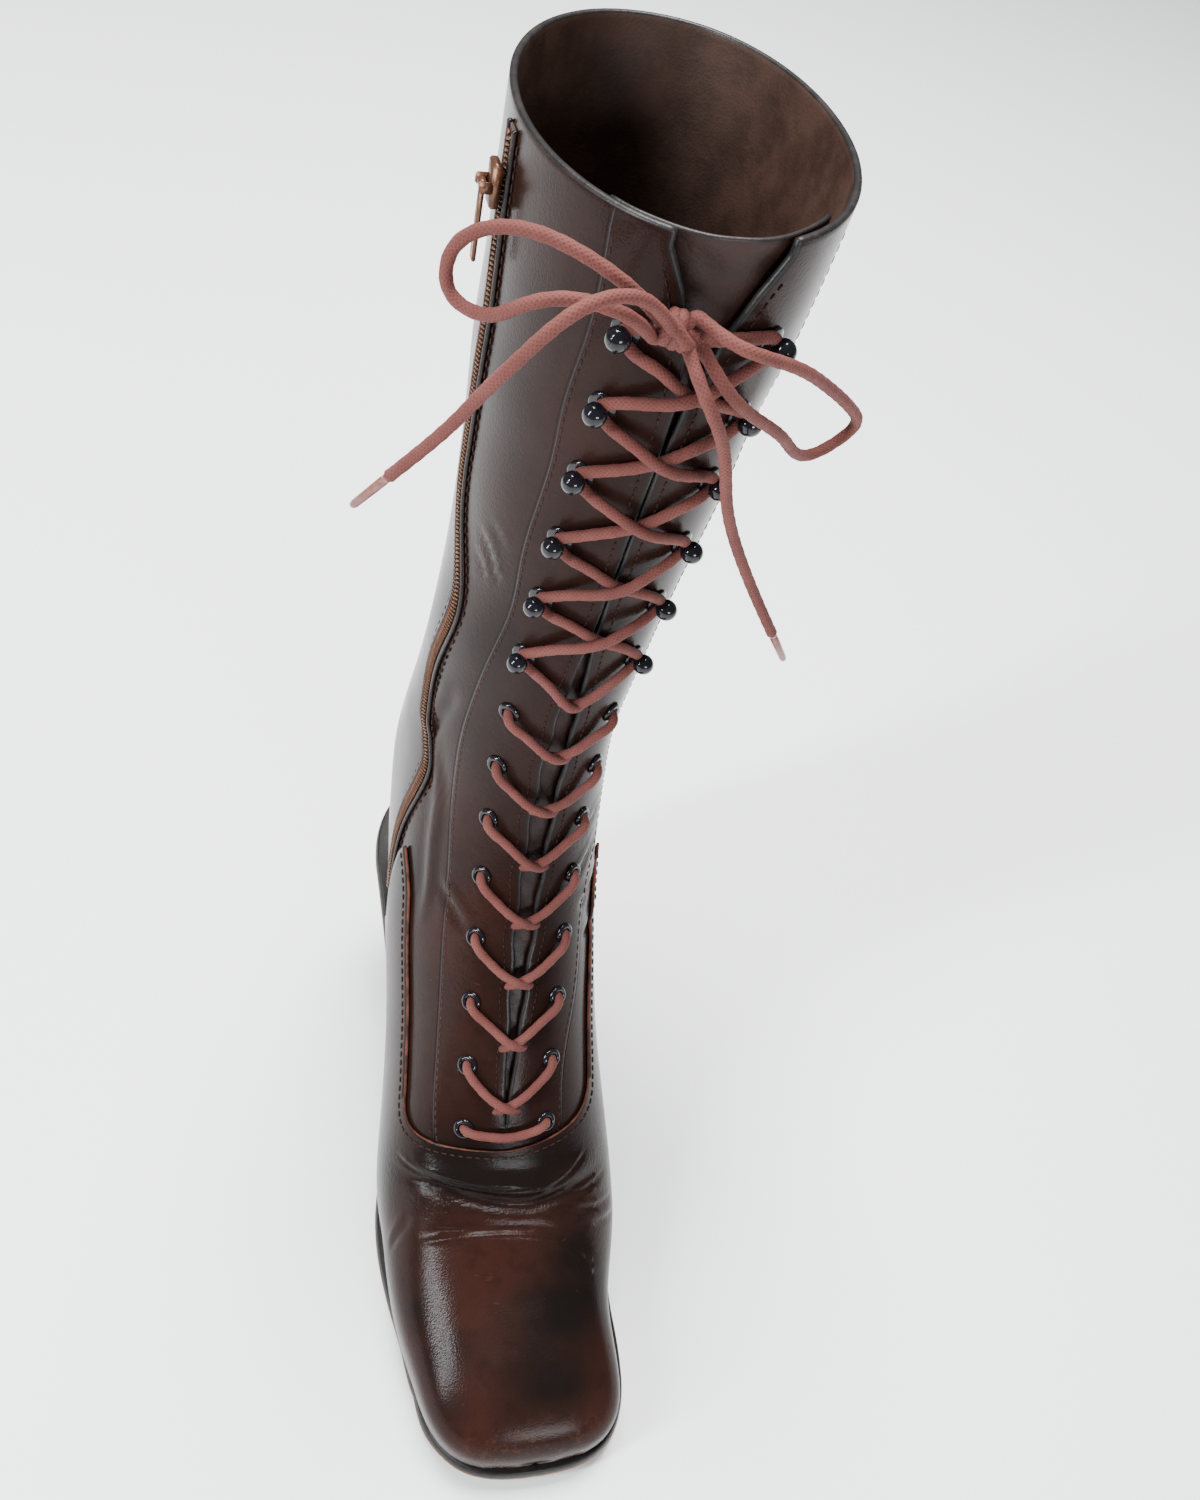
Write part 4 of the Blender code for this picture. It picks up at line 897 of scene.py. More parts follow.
def leather_material(name, seams=False):
    """Burnished glossy leather: soft red and black patches, fine grain, and gathered wrinkles with painted
    shade in their valleys.
    """
    web = Web(name, 0.3, Specular_IOR_Level=LEATHER_SHINE)
    cloud = web.spots(38.0, 4.0, 0.55)
    mottle = web.spots(190.0, 3.0, 0.6)
    red = web.times(web.number("red"), web.ramp(cloud, 0.25, 0.62, 0.55, 1.15))
    black = web.times(web.number("black"), web.ramp(cloud, 0.3, 0.7, 1.1, 0.6))
    colour = web.blend(web.ramp(cloud, 0.35, 0.7), DEEP_BROWN, shade(DEEP_BROWN, 1.35))
    colour = web.blend(red, colour, RED_BROWN)
    colour = web.blend(black, colour, BLACK_TONE_AND_CREASE_SHADE)
    colour = web.blend(web.ramp(mottle, 0.45, 0.75, 0.0, 0.35), colour, shade(DEEP_BROWN, 0.7))
    crumple = web.number("crumple")
    lines = web.spots(520.0, 3.0, 0.62, stretch=(0.22, 1.0, 1.15))
    crossed = web.ramp(web.cells(620.0, "DISTANCE_TO_EDGE"), 0.0, 0.25, 0.0, 0.02)
    wrinkles = web.times(crumple, web.plus(web.times(lines, 0.13), crossed))
    grain = web.times(web.cells(1500.0), 0.03)
    fine = web.times(web.spots(2300.0, 2.0, 0.5), 0.014)
    height = web.plus(grain, fine, wrinkles, web.times(lines, 0.035))
    # Painted shade: the valleys of the fine wrinkles are darkened towards near black where they gather
    valley_shade = web.ramp(lines, 0.5, 0.38)
    colour = web.blend(web.times(valley_shade, crumple, 0.45), colour, BLACK_TONE_AND_CREASE_SHADE)
    scratch = web.ramp(web.spots(260.0, 2.0, 0.7, stretch=(0.25, 1.0, 2.2)), 0.70, 0.76)
    colour = web.blend(web.times(scratch, 0.25), colour, SCRATCH_BROWN)
    scuff = web.times(web.number("scuff"), web.ramp(web.spots(420.0, 5.0, 0.7), 0.5, 0.62))
    colour = web.blend(scuff, colour, SCUFF_BROWN)
    if seams:
        rim = web.ramp(web.number("edge"), 0.35, 0.75, 1.0, 0.0)
        colour = web.blend(web.times(rim, 0.9), colour, EDGE_INK)
        seam = web.number("seam")
        line = web.times(web.ramp(seam, -0.75, -0.3), web.ramp(seam, -0.05, 0.3, 1.0, 0.0))
        colour = web.blend(web.times(line, 0.8), colour, SEAM_SHADOW)
        height = web.plus(height, web.ramp(seam, -0.5, 0.25, 0.0, 0.07), web.times(line, -0.12))
    rough = web.plus(web.ramp(cloud, 0.3, 0.7, 0.19, 0.27), web.times(scratch, 0.12), web.times(scuff, 0.2))
    return web.finish(colour, height, rough)


def plain_leather(name, pair, roughness, grain=0.05):
    """Leather of one colour with soft clouds, grain and faint creases."""
    web = Web(name, roughness, Specular_IOR_Level=DULL_SHINE)
    cloud = web.spots(70.0, 4.0, 0.6)
    creases = web.times(web.spots(240.0, 4.0, 0.65), grain * 2.5)
    height = web.plus(web.times(web.cells(1200.0), grain), creases)
    rough = web.ramp(cloud, 0.3, 0.7, roughness - 0.06, roughness + 0.08)
    return web.finish(web.blend(web.ramp(cloud, 0.35, 0.68), *pair), height, rough)


def painted_edge_material(name, pair, roughness):
    """A cut edge of leather, painted or raw, with its fibres along it."""
    web = Web(name, roughness, Specular_IOR_Level=DULL_SHINE)
    fibre = web.spots(900.0, 3.0, 0.6)
    colour = web.blend(web.ramp(web.spots(140.0, 3.0, 0.6), 0.4, 0.65), *pair)
    colour = web.blend(web.ramp(fibre, 0.5, 0.75, 0.0, 0.4), colour, shade(pair[0], 0.5))
    return web.finish(colour, web.times(fibre, 0.1))


def lace_material():
    """A fine round braid with a matt, faintly fuzzy surface and painted shade between its strands."""
    web = Web("waxed_lace", 0.8, Specular_IOR_Level=0.25)
    uv = web.node("ShaderNodeSeparateXYZ", {0: web.node("ShaderNodeTexCoord").outputs["UV"]})
    length = web.times(uv.outputs[0], 2 * math.pi / PLAIT_LENGTH)
    turn = web.times(uv.outputs[1], 2 * math.pi * PLAIT_STRANDS)
    first = web.maths("SINE", web.plus(length, turn))
    second = web.maths("SINE", web.maths("SUBTRACT", length, turn))
    strand = web.maths("MAXIMUM", first, second)
    # Painted shade: the hollows between the braid's strands are darkened
    hollow = web.maths("SUBTRACT", 1.0, web.ramp(strand, 0.15, 0.75))
    colour = web.blend(web.ramp(web.spots(60.0, 3.0, 0.6), 0.35, 0.7), *LACE_PAIR)
    colour = web.blend(web.times(hollow, 0.55), colour, LACE_HOLLOW_SHADE)
    fluff = web.spots(3000.0, 2.0, 0.6)
    return web.finish(colour, web.plus(web.times(strand, 0.045), web.times(fluff, 0.07)))


def metal_material(name, pair, roughness, metallic, wear):
    """Lacquered or bare metal with faint unevenness."""
    web = Web(name, roughness, Metallic=metallic, Specular_IOR_Level=0.3)
    cloud = web.spots(420.0, 4.0, 0.6)
    rough = web.ramp(cloud, 0.3, 0.7, roughness * 0.8, roughness * 1.3)
    height = web.times(web.spots(900.0, 2.0, 0.5), 0.02)
    return web.finish(web.blend(web.ramp(cloud, 0.5, 0.72, 0.0, wear), *pair), height, rough)


def thread_material(name, colour):
    web = Web(name, 0.7, Specular_IOR_Level=0.1)
    ply = web.spots(1800.0, 2.0, 0.5)
    colour = web.blend(web.ramp(ply, 0.35, 0.7), shade(colour, 0.6), shade(colour, 1.25))
    return web.finish(colour, web.times(ply, 0.08))


def sole_material():
    """The sole's edge: black wax above and scuffed tan leather below. Its floor side is worn tan."""
    web = Web("sole_leather", 0.45, Specular_IOR_Level=DULL_SHINE)
    worn = web.spots(160.0, 5.0, 0.65)
    band = web.plus(web.number("level"), web.times(web.maths("SUBTRACT", worn, 0.5), 0.5))
    tan = web.blend(web.ramp(worn, 0.35, 0.7), *SOLE_PAIR)
    colour = web.blend(web.ramp(band, 0.40, 0.52), tan, SOLE_WAX)
    fibre = web.spots(500.0, 4.0, 0.7, stretch=(1.0, 1.0, 4.0))
    colour = web.blend(web.ramp(fibre, 0.52, 0.75, 0.0, 0.35), colour, SOLE_FIBRE)
    return web.finish(colour, web.times(fibre, 0.1), web.ramp(band, 0.35, 0.55, 0.75, 0.45))


def heel_material():
    """Stacked leather under dark wax."""
    web = Web("heel_leather", 0.36, Specular_IOR_Level=DULL_SHINE)
    height = web.node("ShaderNodeSeparateXYZ", {0: web.where}).outputs[2]
    wobble = web.times(web.spots(45.0, 2.0, 0.5), 0.0008)
    layer = web.maths("SINE", web.times(web.plus(height, wobble), 2 * math.pi / HEEL_LAYER))
    line = web.ramp(layer, 0.93, 0.99)
    colour = web.blend(web.ramp(web.spots(60.0, 4.0, 0.6), 0.35, 0.7), *HEEL_PAIR)
    colour = web.blend(web.times(line, 0.55), colour, HEEL_LINE)
    return web.finish(colour, web.times(line, -0.07))


def speckled_material(name, pair, roughness, noise, step, relief_height, **sockets):
    """A plain material whose two colours and relief come from one noise."""
    web = Web(name, roughness, **sockets)
    speck = web.spots(*noise)
    return web.finish(web.blend(web.ramp(speck, *step), *pair), web.times(speck, relief_height))


leather = leather_material("boot_leather", seams=True)
vamp_leather = leather_material("vamp_leather")
lining = plain_leather("lining_leather", LINING_PAIR, 0.6)
tongue_leather = plain_leather("tongue_leather", TONGUE_PAIR, 0.45)
insole_leather = plain_leather("insole_leather", INSOLE_PAIR, 0.65)
lip_leather = plain_leather("zip_lip_leather", LIP_PAIR, 0.34, 0.04)
black_edge = painted_edge_material("black_painted_edge", BLACK_EDGE_PAIR, 0.4)
raw_edge = painted_edge_material("raw_leather_edge", RAW_EDGE_PAIR, 0.6)
dark_thread = thread_material("dark_thread", THREAD_DARK)
tan_thread = thread_material("tan_thread", THREAD_TAN)
lace = lace_material()
black_metal = metal_material("black_lacquered_metal", BLACK_METAL_PAIR, 0.10, 0.0, 0.2)
bronze = metal_material("bronze_zip", BRONZE_PAIR, 0.38, 0.6, 0.8)
tape = speckled_material("zip_tape", TAPE_PAIR, 0.8, (1600.0, 1.0, 0.4, (1.0, 1.0, 2.2)), (0.35, 0.65), 0.12)
sole_leather = sole_material()
heel_leather = heel_material()
rubber = speckled_material("top_lift_rubber", RUBBER_PAIR, 0.7, (900.0, 3.0, 0.6), (0.4, 0.7), 0.08)
aglet_plastic = speckled_material("aglet_plastic", AGLET_PAIR, 0.22, (500.0, 3.0, 0.6), (0.35, 0.7), 0.05,
                                  Transmission_Weight=0.25, IOR=1.46)


# The body that carries the pieces, and the skin's numbers

def ride_boot(piece, slot, *nodes):
    """Puts a piece on the boot's body and hides the CAD nodes that it stands for. Its slot is not used."""
    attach(piece, "boot")
    if nodes:
        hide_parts(*nodes)
    return piece


# The scuffed tip and lower sides of the toe: places in millimetres, angles and strengths
TIP_END, TIP_FADE, TIP_ANGLE, TIP_SCUFF = 14.0, 10.0, 2.2, 0.5
SIDE_END, SIDE_ANGLES, SIDE_SCUFF = 60.0, (1.9, 2.3), 0.6


def skin_numbers(v, u):
    """The numbers that the leather's material reads at the skin's points."""
    tip = clamped((TIP_END - v) / TIP_FADE) * (np.abs(u) < TIP_ANGLE)
    side = eased(np.abs(u), *SIDE_ANGLES) * (v < SIDE_END)
    return dict(red=patches(v, u, RED_PATCHES), black=patches(v, u, BLACK_PATCHES),
                crumple=patches(v, u, CRUMPLES), scuff=clamped(tip * TIP_SCUFF + side * SIDE_SCUFF))


# The skin's arc is longer than the angle times the half width by this share
BULGE = 1.05


def stay_angle(stops, v):
    """Angle of an eyestay's seam at each place; beyond its ends it stays as it is there."""
    table = np.array(stops[::-1], float)
    inside = np.clip(v, table[0, 0], table[-1, 0])
    return spline_through(table[:, 0], np.radians(table[:, 1:]))(inside).reshape(np.shape(v))


def seam_distance(v, u):
    """Millimetres inside the eyestay's seams, below zero outside them."""
    stay = np.zeros(v.shape)
    row = section(v)
    radius = np.where(u > 0, row["outer"], row["inner"]) * BULGE
    for stops, side in ((STAY_INNER, -1), (STAY_OUTER, 1)):
        at = stay_angle(stops, v)
        away = (np.abs(at) - np.abs(u)) * radius
        stay = np.where(np.sign(u) == side, away, stay)
    return stay


def with_closed_tip(points):
    """Draws the first row together to one point at the toe's tip."""
    points[0] = points[0].mean(0)
    return points


# The upper

# A distance from the throat's edge at which its painted rim no longer shows, the columns of faces on
# each side of the foot's opening, and how far past its ends a row may lie
FAR = 9.0
UNDER_COLUMNS = 4
ROW_SLACK = 1.5


def make_upper():
    """The hollow body of the boot, open at the collar, the throat, the eyelets and underneath."""
    toe_rows = np.linspace(START + 0.01, 12.0, 10)
    foot_rows = np.linspace(14.0, THROAT_START, 50)
    throat_rows = np.linspace(THROAT_START + 1.2, COLLAR, 225)
    places = np.concatenate([(START,), toe_rows, foot_rows, throat_rows])
    shares = np.concatenate([np.linspace(0.0, 0.03, 5), np.linspace(0.045, 1.0, 58)])
    v = places[:, None]
    front = throat_edge(places)[:, None]
    opening = np.arctan(np.interp(section(places)["back_y"], *zip(*FOOT_OPENING)))[:, None]
    edge = math.pi - opening
    side = front + (edge - front) * shares
    under = edge + (math.pi - edge) * np.linspace(0.0, 1.0, UNDER_COLUMNS + 1)[1:-1]
    u = np.concatenate([np.full_like(v, math.pi), -under[:, ::-1], -side[:, ::-1], side, under], 1)
    v = np.broadcast_to(v, u.shape)
    rows, columns = u.shape
    slit = UNDER_COLUMNS - 1 + len(shares)
    back_y = section(places)["back_y"]
    keep = np.ones((rows, columns), bool)
    keep[places >= THROAT_START, slit] = False
    below = (np.arange(columns) < UNDER_COLUMNS) | (np.arange(columns) >= columns - UNDER_COLUMNS)
    first, last = FOOT_OPENING[0][0] - ROW_SLACK, FOOT_OPENING[-1][0] + ROW_SLACK
    open_row = (back_y >= first) & (np.roll(back_y, -1) <= last)
    keep[np.ix_(open_row, below)] = False
    base = last_point(v, u)
    centres = (base[:-1] + base[1:]) / 2
    centres = (centres + np.roll(centres, -1, 1)) / 2
    for row in range(EYELET_ROWS):
        for way, _ in SIDES:
            hole = last_point(ROW_PLACES[row], row_angle(row, way))
            keep[:-1][np.linalg.norm(centres - hole, axis=-1) < HOLE_CLEAR] = False
    faces = face_grid(rows, columns, keep, wrap=True)
    lift = relief(v, u)
    outside = with_closed_tip(over_last(v, u, lift))
    inside = with_closed_tip(over_last(v, u, lift - WALL))
    numbers = skin_numbers(v, u)
    numbers["seam"] = seam_distance(v, u)
    radius = section(v)["inner"]
    gap = (np.abs(u) - throat_edge(v)) * radius
    numbers["edge"] = np.where(v >= THROAT_START, gap, FAR)
    materials = [leather, black_edge, lining]
    piece = leather_sheet("upper_leather", outside, inside, faces, materials, numbers, roll=0.7)
    return ride_boot(piece, "upper_leather", "upper")


make_upper()


# The vamp

# The angles among which the vamp's lower edge is found, its height over the sole, and its last place
EDGE_ANGLES = np.radians(np.linspace(95.0, 165.0, 141))
EDGE_CLEAR = 0.12
EDGE_END = 205.0


def vamp_foot_angle(v):
    """Angle at which the vamp's outer face comes down to the sole."""
    edge = np.empty((len(v), 2))
    for k, side in enumerate((-1.0, 1.0)):
        points = over_last(v[:, None], side * EDGE_ANGLES[None, :], np.array(VAMP_TOP))
        high = points[..., 2] - foot_line(points[..., 1]) > EDGE_CLEAR
        stop = np.where(high.all(1), len(EDGE_ANGLES), high.argmin(1))
        edge[:, k] = EDGE_ANGLES[np.maximum(stop - 1, 0)]
    return edge


def make_vamp():
    """Rows over the toe up to the corners of the topline, then two wings back along the foot."""
    tip_steps = np.linspace(0.0001, 0.09, 9)
    toe_steps = np.linspace(0.11, 0.50, 26)
    fold_steps = np.linspace(0.507, 0.985, 82)
    steps = np.concatenate([(0.0,), tip_steps, toe_steps, fold_steps, (0.994, 1.0)])
    toe = START + (VAMP_CORNER - START) * steps
    wing_steps = np.linspace(0.0, 1.0, 46)[1:]
    across = np.sin(np.linspace(0.0, math.pi / 2, 44))
    down = np.linspace(0.0, 1.0, 36)[1:]
    half = len(across) + len(down)
    rows = len(steps) + len(wing_steps)
    v = np.zeros((rows, 2, half))
    u = np.zeros((rows, 2, half))
    foot_places = np.linspace(START, EDGE_END, 260)
    foot_angles = vamp_foot_angle(foot_places)
    for k in range(2):
        line = np.array(VAMP_LINES[k])
        corner = math.radians(line[0, 1])
        dip = VAMP_CORNER - (VAMP_CORNER - VAMP_DIP) * round_off(across, VAMP_ROUND)
        foot = np.interp(toe, foot_places, foot_angles[:, k])[:, None]
        front = len(across)
        v[:len(steps), k, :front] = START + (dip - START) * steps[:, None]
        v[:len(steps), k, front:] = toe[:, None]
        u[:len(steps), k, :front] = corner * across
        u[:len(steps), k, front:] = corner + (foot - corner) * down
        shares = np.concatenate([np.zeros(front), down])
        end = np.interp(shares, *zip(*VAMP_END))
        wing = VAMP_CORNER + (end - VAMP_CORNER) * wing_steps[:, None]
        foot = np.interp(wing, foot_places, foot_angles[:, k])
        top = np.radians(np.interp(wing, line[:, 0], line[:, 1]))
        v[len(steps):, k] = wing
        u[len(steps):, k] = top + (foot - top) * shares
    v = np.concatenate([v[:, 0, :0:-1], v[:, 1]], 1)
    u = np.concatenate([-u[:, 0, :0:-1], u[:, 1]], 1)
    columns = u.shape[1]
    wing_edge = len(down)
    keep = np.ones((rows, columns), bool)
    keep[len(steps) - 1:, wing_edge:columns - 1 - wing_edge] = False
    faces = face_grid(rows, columns, keep)
    lift = relief(v, u)
    outside = with_closed_tip(over_last(v, u, lift + VAMP_TOP))
    inside = with_closed_tip(over_last(v, u, lift + VAMP_LOW))
    piece = leather_sheet("vamp_leather_piece", outside, inside, faces, [vamp_leather, raw_edge, lining],
                          skin_numbers(v, u), roll=0.35)
    return ride_boot(piece, "vamp_leather", "vamp")


make_vamp()


# Tongue and insole

TONGUE_FROM = 90.0
TONGUE_SPREAD = 42.0
INSOLE_ENDS = (10.0, 227.0)
INSOLE_DEPTH = 0.66
INSOLE_THICKNESS = 1.8


def make_tongue():
    places = np.linspace(TONGUE_FROM, COLLAR - 1.0, 230)
    angles = np.radians(np.linspace(-TONGUE_SPREAD, TONGUE_SPREAD, 60))
    v, u = np.meshgrid(places, angles, indexing="ij")
    crease = 0.3 * np.sin(v * 0.55 + 2.0 * np.sin(u * 5.0)) * np.sin(u * 9.0 + v * 0.06)
    outside = over_last(v, u, TONGUE_TOP + crease)
    inside = over_last(v, u, TONGUE_LOW + crease * 0.5)
    piece = leather_sheet("tongue_leather_piece", outside, inside, face_grid(len(places), len(angles), None),
                          [tongue_leather, black_edge, lining], {})
    return ride_boot(piece, "tongue_leather", "tongue")


def make_insole():
    y = np.linspace(*INSOLE_ENDS, 90)
    v = np.where(y < TOE_ROW, y, np.interp(y, FOOT_ROWS["back_y"], FOOT_PLACES))[:, None]
    spread = np.arctan(np.interp(y, *zip(*INSOLE_SPREAD)))[:, None]
    u = math.pi + spread * np.linspace(-1.0, 1.0, 24)
    v = np.broadcast_to(v, u.shape)
    low = -(WALL + GAP + INSOLE_DEPTH)
    piece = leather_sheet("insole_board", over_last(v, u, low), over_last(v, u, low - INSOLE_THICKNESS),
                          face_grid(len(y), u.shape[1], None), [insole_leather] * 3, {})
    return ride_boot(piece, "insole_leather", "insole")


make_tongue()
make_insole()


# Sole and heel

def ring_piece(name, rings, levels, material, slot, nodes):
    """A solid from closed rings of points that close left to right at both ends."""
    count = len(rings[0])
    points = np.concatenate(rings)
    faces = [tuple(f) for f in face_grid(len(rings), count, None, wrap=True)]
    half = count // 2
    for start, turn in ((0, 1), ((len(rings) - 1) * count, -1)):
        for i in range(half - 1):
            quad = (start + i, start + i + 1, start + count - 2 - i, start + count - 1 - i)
            faces.append(quad[::turn])
    numbers = dict(level=np.repeat(levels, count))
    piece = face_outwards(add_mesh(name, world(points), faces, [material], numbers=numbers), merge=True)
    piece.data.set_sharp_from_angle(angle=math.radians(SHARP_EDGE))
    return ride_boot(piece, slot, *nodes)


# How far the sole's edge stands past its plain outline: middle and reach along the foot, and width
INNER_SHOW = ((33.0, 10.0, 1.3), (85.0, 24.0, 1.0), (9.0, 7.0, -1.0))
OUTER_SHOW = ((40.0, 13.0, 1.1), (12.0, 11.0, -1.2))


def show(y, table):
    """The width at y of a table's soft swellings."""
    return sum(width * np.exp(-((y - middle) / reach) ** 2) for middle, reach, width in table)


def sole_ring(margin, share):
    """A ring round the sole at a margin, at a share from its underside to its top."""
    turn = np.linspace(0.0, math.pi, 170)
    y = (SOLE_EDGE - margin) + (SEAT_BACK + margin - SOLE_EDGE + margin) * (1 - np.cos(turn)) / 2
    inner, outer = foot_sides(y, margin)
    inner = inner - show(y, INNER_SHOW)
    outer = outer + show(y, OUTER_SHOW)
    low, high = sole_underside(y), foot_line(y) - GAP
    z = low + (high - low) * share
    left = np.column_stack([inner, y, z])
    right = np.column_stack([outer, y, z])[::-1]
    return np.concatenate([left, right])


# Rings of the sole from below: margin, share of the thickness and level in its material
SOLE_RINGS = ((-9.0, 0.0, 0.0), (2.2, 0.0, 0.0), (3.0, 0.06, 0.1), (3.35, 0.2, 0.25), (3.2, 0.45, 0.5),
              (2.9, 0.75, 0.8), (2.5, 0.93, 0.95), (2.0, 1.0, 1.0), (-9.0, 1.0, 1.0))
ring_piece("outsole_leather", [sole_ring(margin, share) for margin, share, _ in SOLE_RINGS],
           [level for _, _, level in SOLE_RINGS], sole_leather, "sole_leather", ("outsole",))


# The heel: how its outline bends towards the sole, how round its back is and from which share, its
# margin under the sole, where its width there is measured, and its points along one side
HEEL_BEND = 1.7
HEEL_ROUND = 2.4
HEEL_ROUND_FROM = 0.45
HEEL_MARGIN = SOLE_EDGE - 1.2
HEEL_TOP_Y = 195.0
HEEL_FRONT_POINTS = 12
HEEL_BACK_POINTS = 34


def heel_outline(level, inset=0.0):
    """The heel's outline at a level from 0, the top lift, to 1, the sole."""
    bend = level ** HEEL_BEND
    front = HEEL_FOOT["front"] + (HEEL_BREAST - HEEL_FOOT["front"]) * bend + inset
    back = HEEL_FOOT["back"] + (SEAT_BACK + HEEL_MARGIN - HEEL_FOOT["back"]) * bend - inset
    turns = np.linspace(0.06, math.pi / 2, HEEL_BACK_POINTS)
    shares = np.concatenate([np.linspace(0.0, 0.5, HEEL_FRONT_POINTS), 0.5 + 0.5 * np.sin(turns)])
    y = front + (back - front) * shares
    rounding = clamped((shares - HEEL_ROUND_FROM) / (1 - HEEL_ROUND_FROM))
    narrow = round_off(rounding, HEEL_ROUND)
    top_inner, top_outer = foot_sides(np.array([HEEL_TOP_Y]), HEEL_MARGIN)
    inner = HEEL_FOOT["inner"] + (top_inner - HEEL_FOOT["inner"]) * bend + inset
    outer = HEEL_FOOT["outer"] + (top_outer - HEEL_FOOT["outer"]) * bend - inset
    middle = (inner + outer) / 2
    left = np.stack([middle + (inner - middle) * narrow, y], -1)
    right = np.stack([middle + (outer - middle) * narrow, y], -1)[::-1]
    return np.concatenate([left, right])


def make_heel():
    """The heel's cover, with small bevels at its ends, and its top lift."""
    rings = []
    levels = np.concatenate([(0.0, 0.008), np.linspace(0.02, 0.98, 30), (0.992, 1.0)])
    insets = np.zeros(len(levels))
    insets[[0, -1]] = 0.7
    insets[[1, -2]] = 0.2
    low = TOP_LIFT + GAP
    for level, inset in zip(levels, insets):
        ring = heel_outline(level, inset)
        top = sole_underside(ring[:, 1]) - GAP
        rings.append(np.column_stack([ring, low + (top - low) * level]))
    ring_piece("heel_cover", rings, levels, heel_leather, "heel_leather", ("heel_block",))
    count = 2 * (HEEL_FRONT_POINTS + HEEL_BACK_POINTS)
    flat = [np.column_stack([heel_outline(0.0, inset), np.full(count, z)])
            for inset, z in ((0.6, 0.0), (0.0, 0.5), (0.0, TOP_LIFT - 0.5), (0.5, TOP_LIFT))]
    ring_piece("heel_lift", flat, [0.0, 0.3, 0.7, 1.0], rubber, "top_lift", ("heel_top_lift",))


make_heel()


# Eyelets and hooks

# Profiles of (radius, height), and the angles of the points round a hook's ball
EYELET_PROFILE = ((1.72, -2.6), (1.72, 0.2), (1.85, 0.75), (2.2, 1.05), (2.7, 1.05), (3.2, 0.75), (3.5, 0.3),
                  (3.5, 0.02), (2.1, 0.02), (2.0, -2.1), (3.0, -2.15), (3.1, -2.5), (2.4, -2.75))
BALL_RADIUS, BALL_HEIGHT = 3.0, 4.2
BALL_ANGLES = np.radians((-68, -55, -40, -24, -8, 8, 24, 40, 54, 67, 78, 86))
HOOK_FOOT = ((3.55, 0.0), (3.65, 0.25), (3.55, 0.5), (3.0, 0.72), (1.9, 0.88), (1.15, 1.1), (0.95, 1.4),
             (0.95, 1.7))
HOOK_PROFILE = HOOK_FOOT + tuple(
    (BALL_RADIUS * math.cos(a), BALL_HEIGHT + BALL_RADIUS * math.sin(a)) for a in BALL_ANGLES)
SEAT_HEIGHT = 0.05


def make_fasteners():
    shapes = {}
    for row, place in enumerate(ROW_PLACES):
        for side, word in SIDES:
            kind = "eyelet" if row < EYELET_ROWS else "hook"
            name = f"{kind}_{row + 1:02d}_{word}"
            if kind not in shapes:
                profile, closed = (EYELET_PROFILE, True) if kind == "eyelet" else (HOOK_PROFILE, False)
                piece = turned(f"black_{name}", profile, 36, black_metal, closed)
                shapes[kind] = piece.data
            else:
                piece = link(f"black_{name}", shapes[kind])
            piece.matrix_world = seat(place, row_angle(row, side), SEAT_HEIGHT)
            ride_boot(piece, "black_metal", name)


make_fasteners()


# Laces

def lace_points(stops, step=0.8):
    """Smooth points over the skin through stops of place, sideways millimetres and height."""
    v, across, height = np.array(stops, float).T
    row = section(v)
    half = np.where(across > 0, row["outer"], row["inner"])
    u = np.arcsin(clamped(np.abs(across) / half)) * np.sign(across)
    return smooth_route(over_skin(v, u, height), step)


def make_eyelet_laces():
    """The straight bar of the first row, then a V in each row that crosses low and goes under."""
    first = HALF_CHORDS[0]
    place = ROW_PLACES[0]
    bar = ((place + 0.5, -first - 0.2, UNDER), (place, -first + 0.2, 0.6), (place - 1.3, -first + 2.6, 2.5),
           (place - 3.2, -first * 0.5, 2.3), (place - 4.4, 0.0, 2.6), (place - 3.4, first * 0.5, 2.3),
           (place - 1.3, first - 2.6, 2.5), (place, first - 0.2, 0.6), (place + 0.5, first + 0.2, UNDER))
    ride_boot(add_tubes("lace_row_01", [lace_points(bar)], LACE_RADIUS, lace), "lace", "lace_bar_01")
    for row in range(1, EYELET_ROWS):
        v, reach = ROW_PLACES[row], HALF_CHORDS[row]
        lean = 0.6 * math.sin(row * 2.3)
        routes = []
        for side, over in ((-1, 1.9), (1, 0.0)):
            stops = ((v + 0.6, reach + 0.3, UNDER), (v + 0.2, reach, 0.2), (v - 1.7, reach - 1.1, 2.5),
                     (v - 7.4 - lean, 0.68 * reach, 2.2), (v - 12.6 - lean, 0.35 * reach, 2.0 + 0.6 * over),
                     (v - 16.2, 0.6, 1.3 + over), (v - 18.0, -3.2, -0.6 + 0.3 * over),
                     (v - 18.7, -6.4, UNDER))
            routes.append(lace_points([(a, side * b, c) for a, b, c in stops]))
        piece = add_tubes(f"lace_row_{row + 1:02d}", routes, LACE_RADIUS, lace)
        ride_boot(piece, "lace", f"lace_vee_{row + 1:02d}")


# The side whose strand lies on top after each row of hooks, and the heights of both strands there
TOP_STRAND = {8: -1, 9: -1, 10: 1, 11: 1, 12: -1}
STRAND_HIGH = 4.3
STRAND_LOW = 1.75


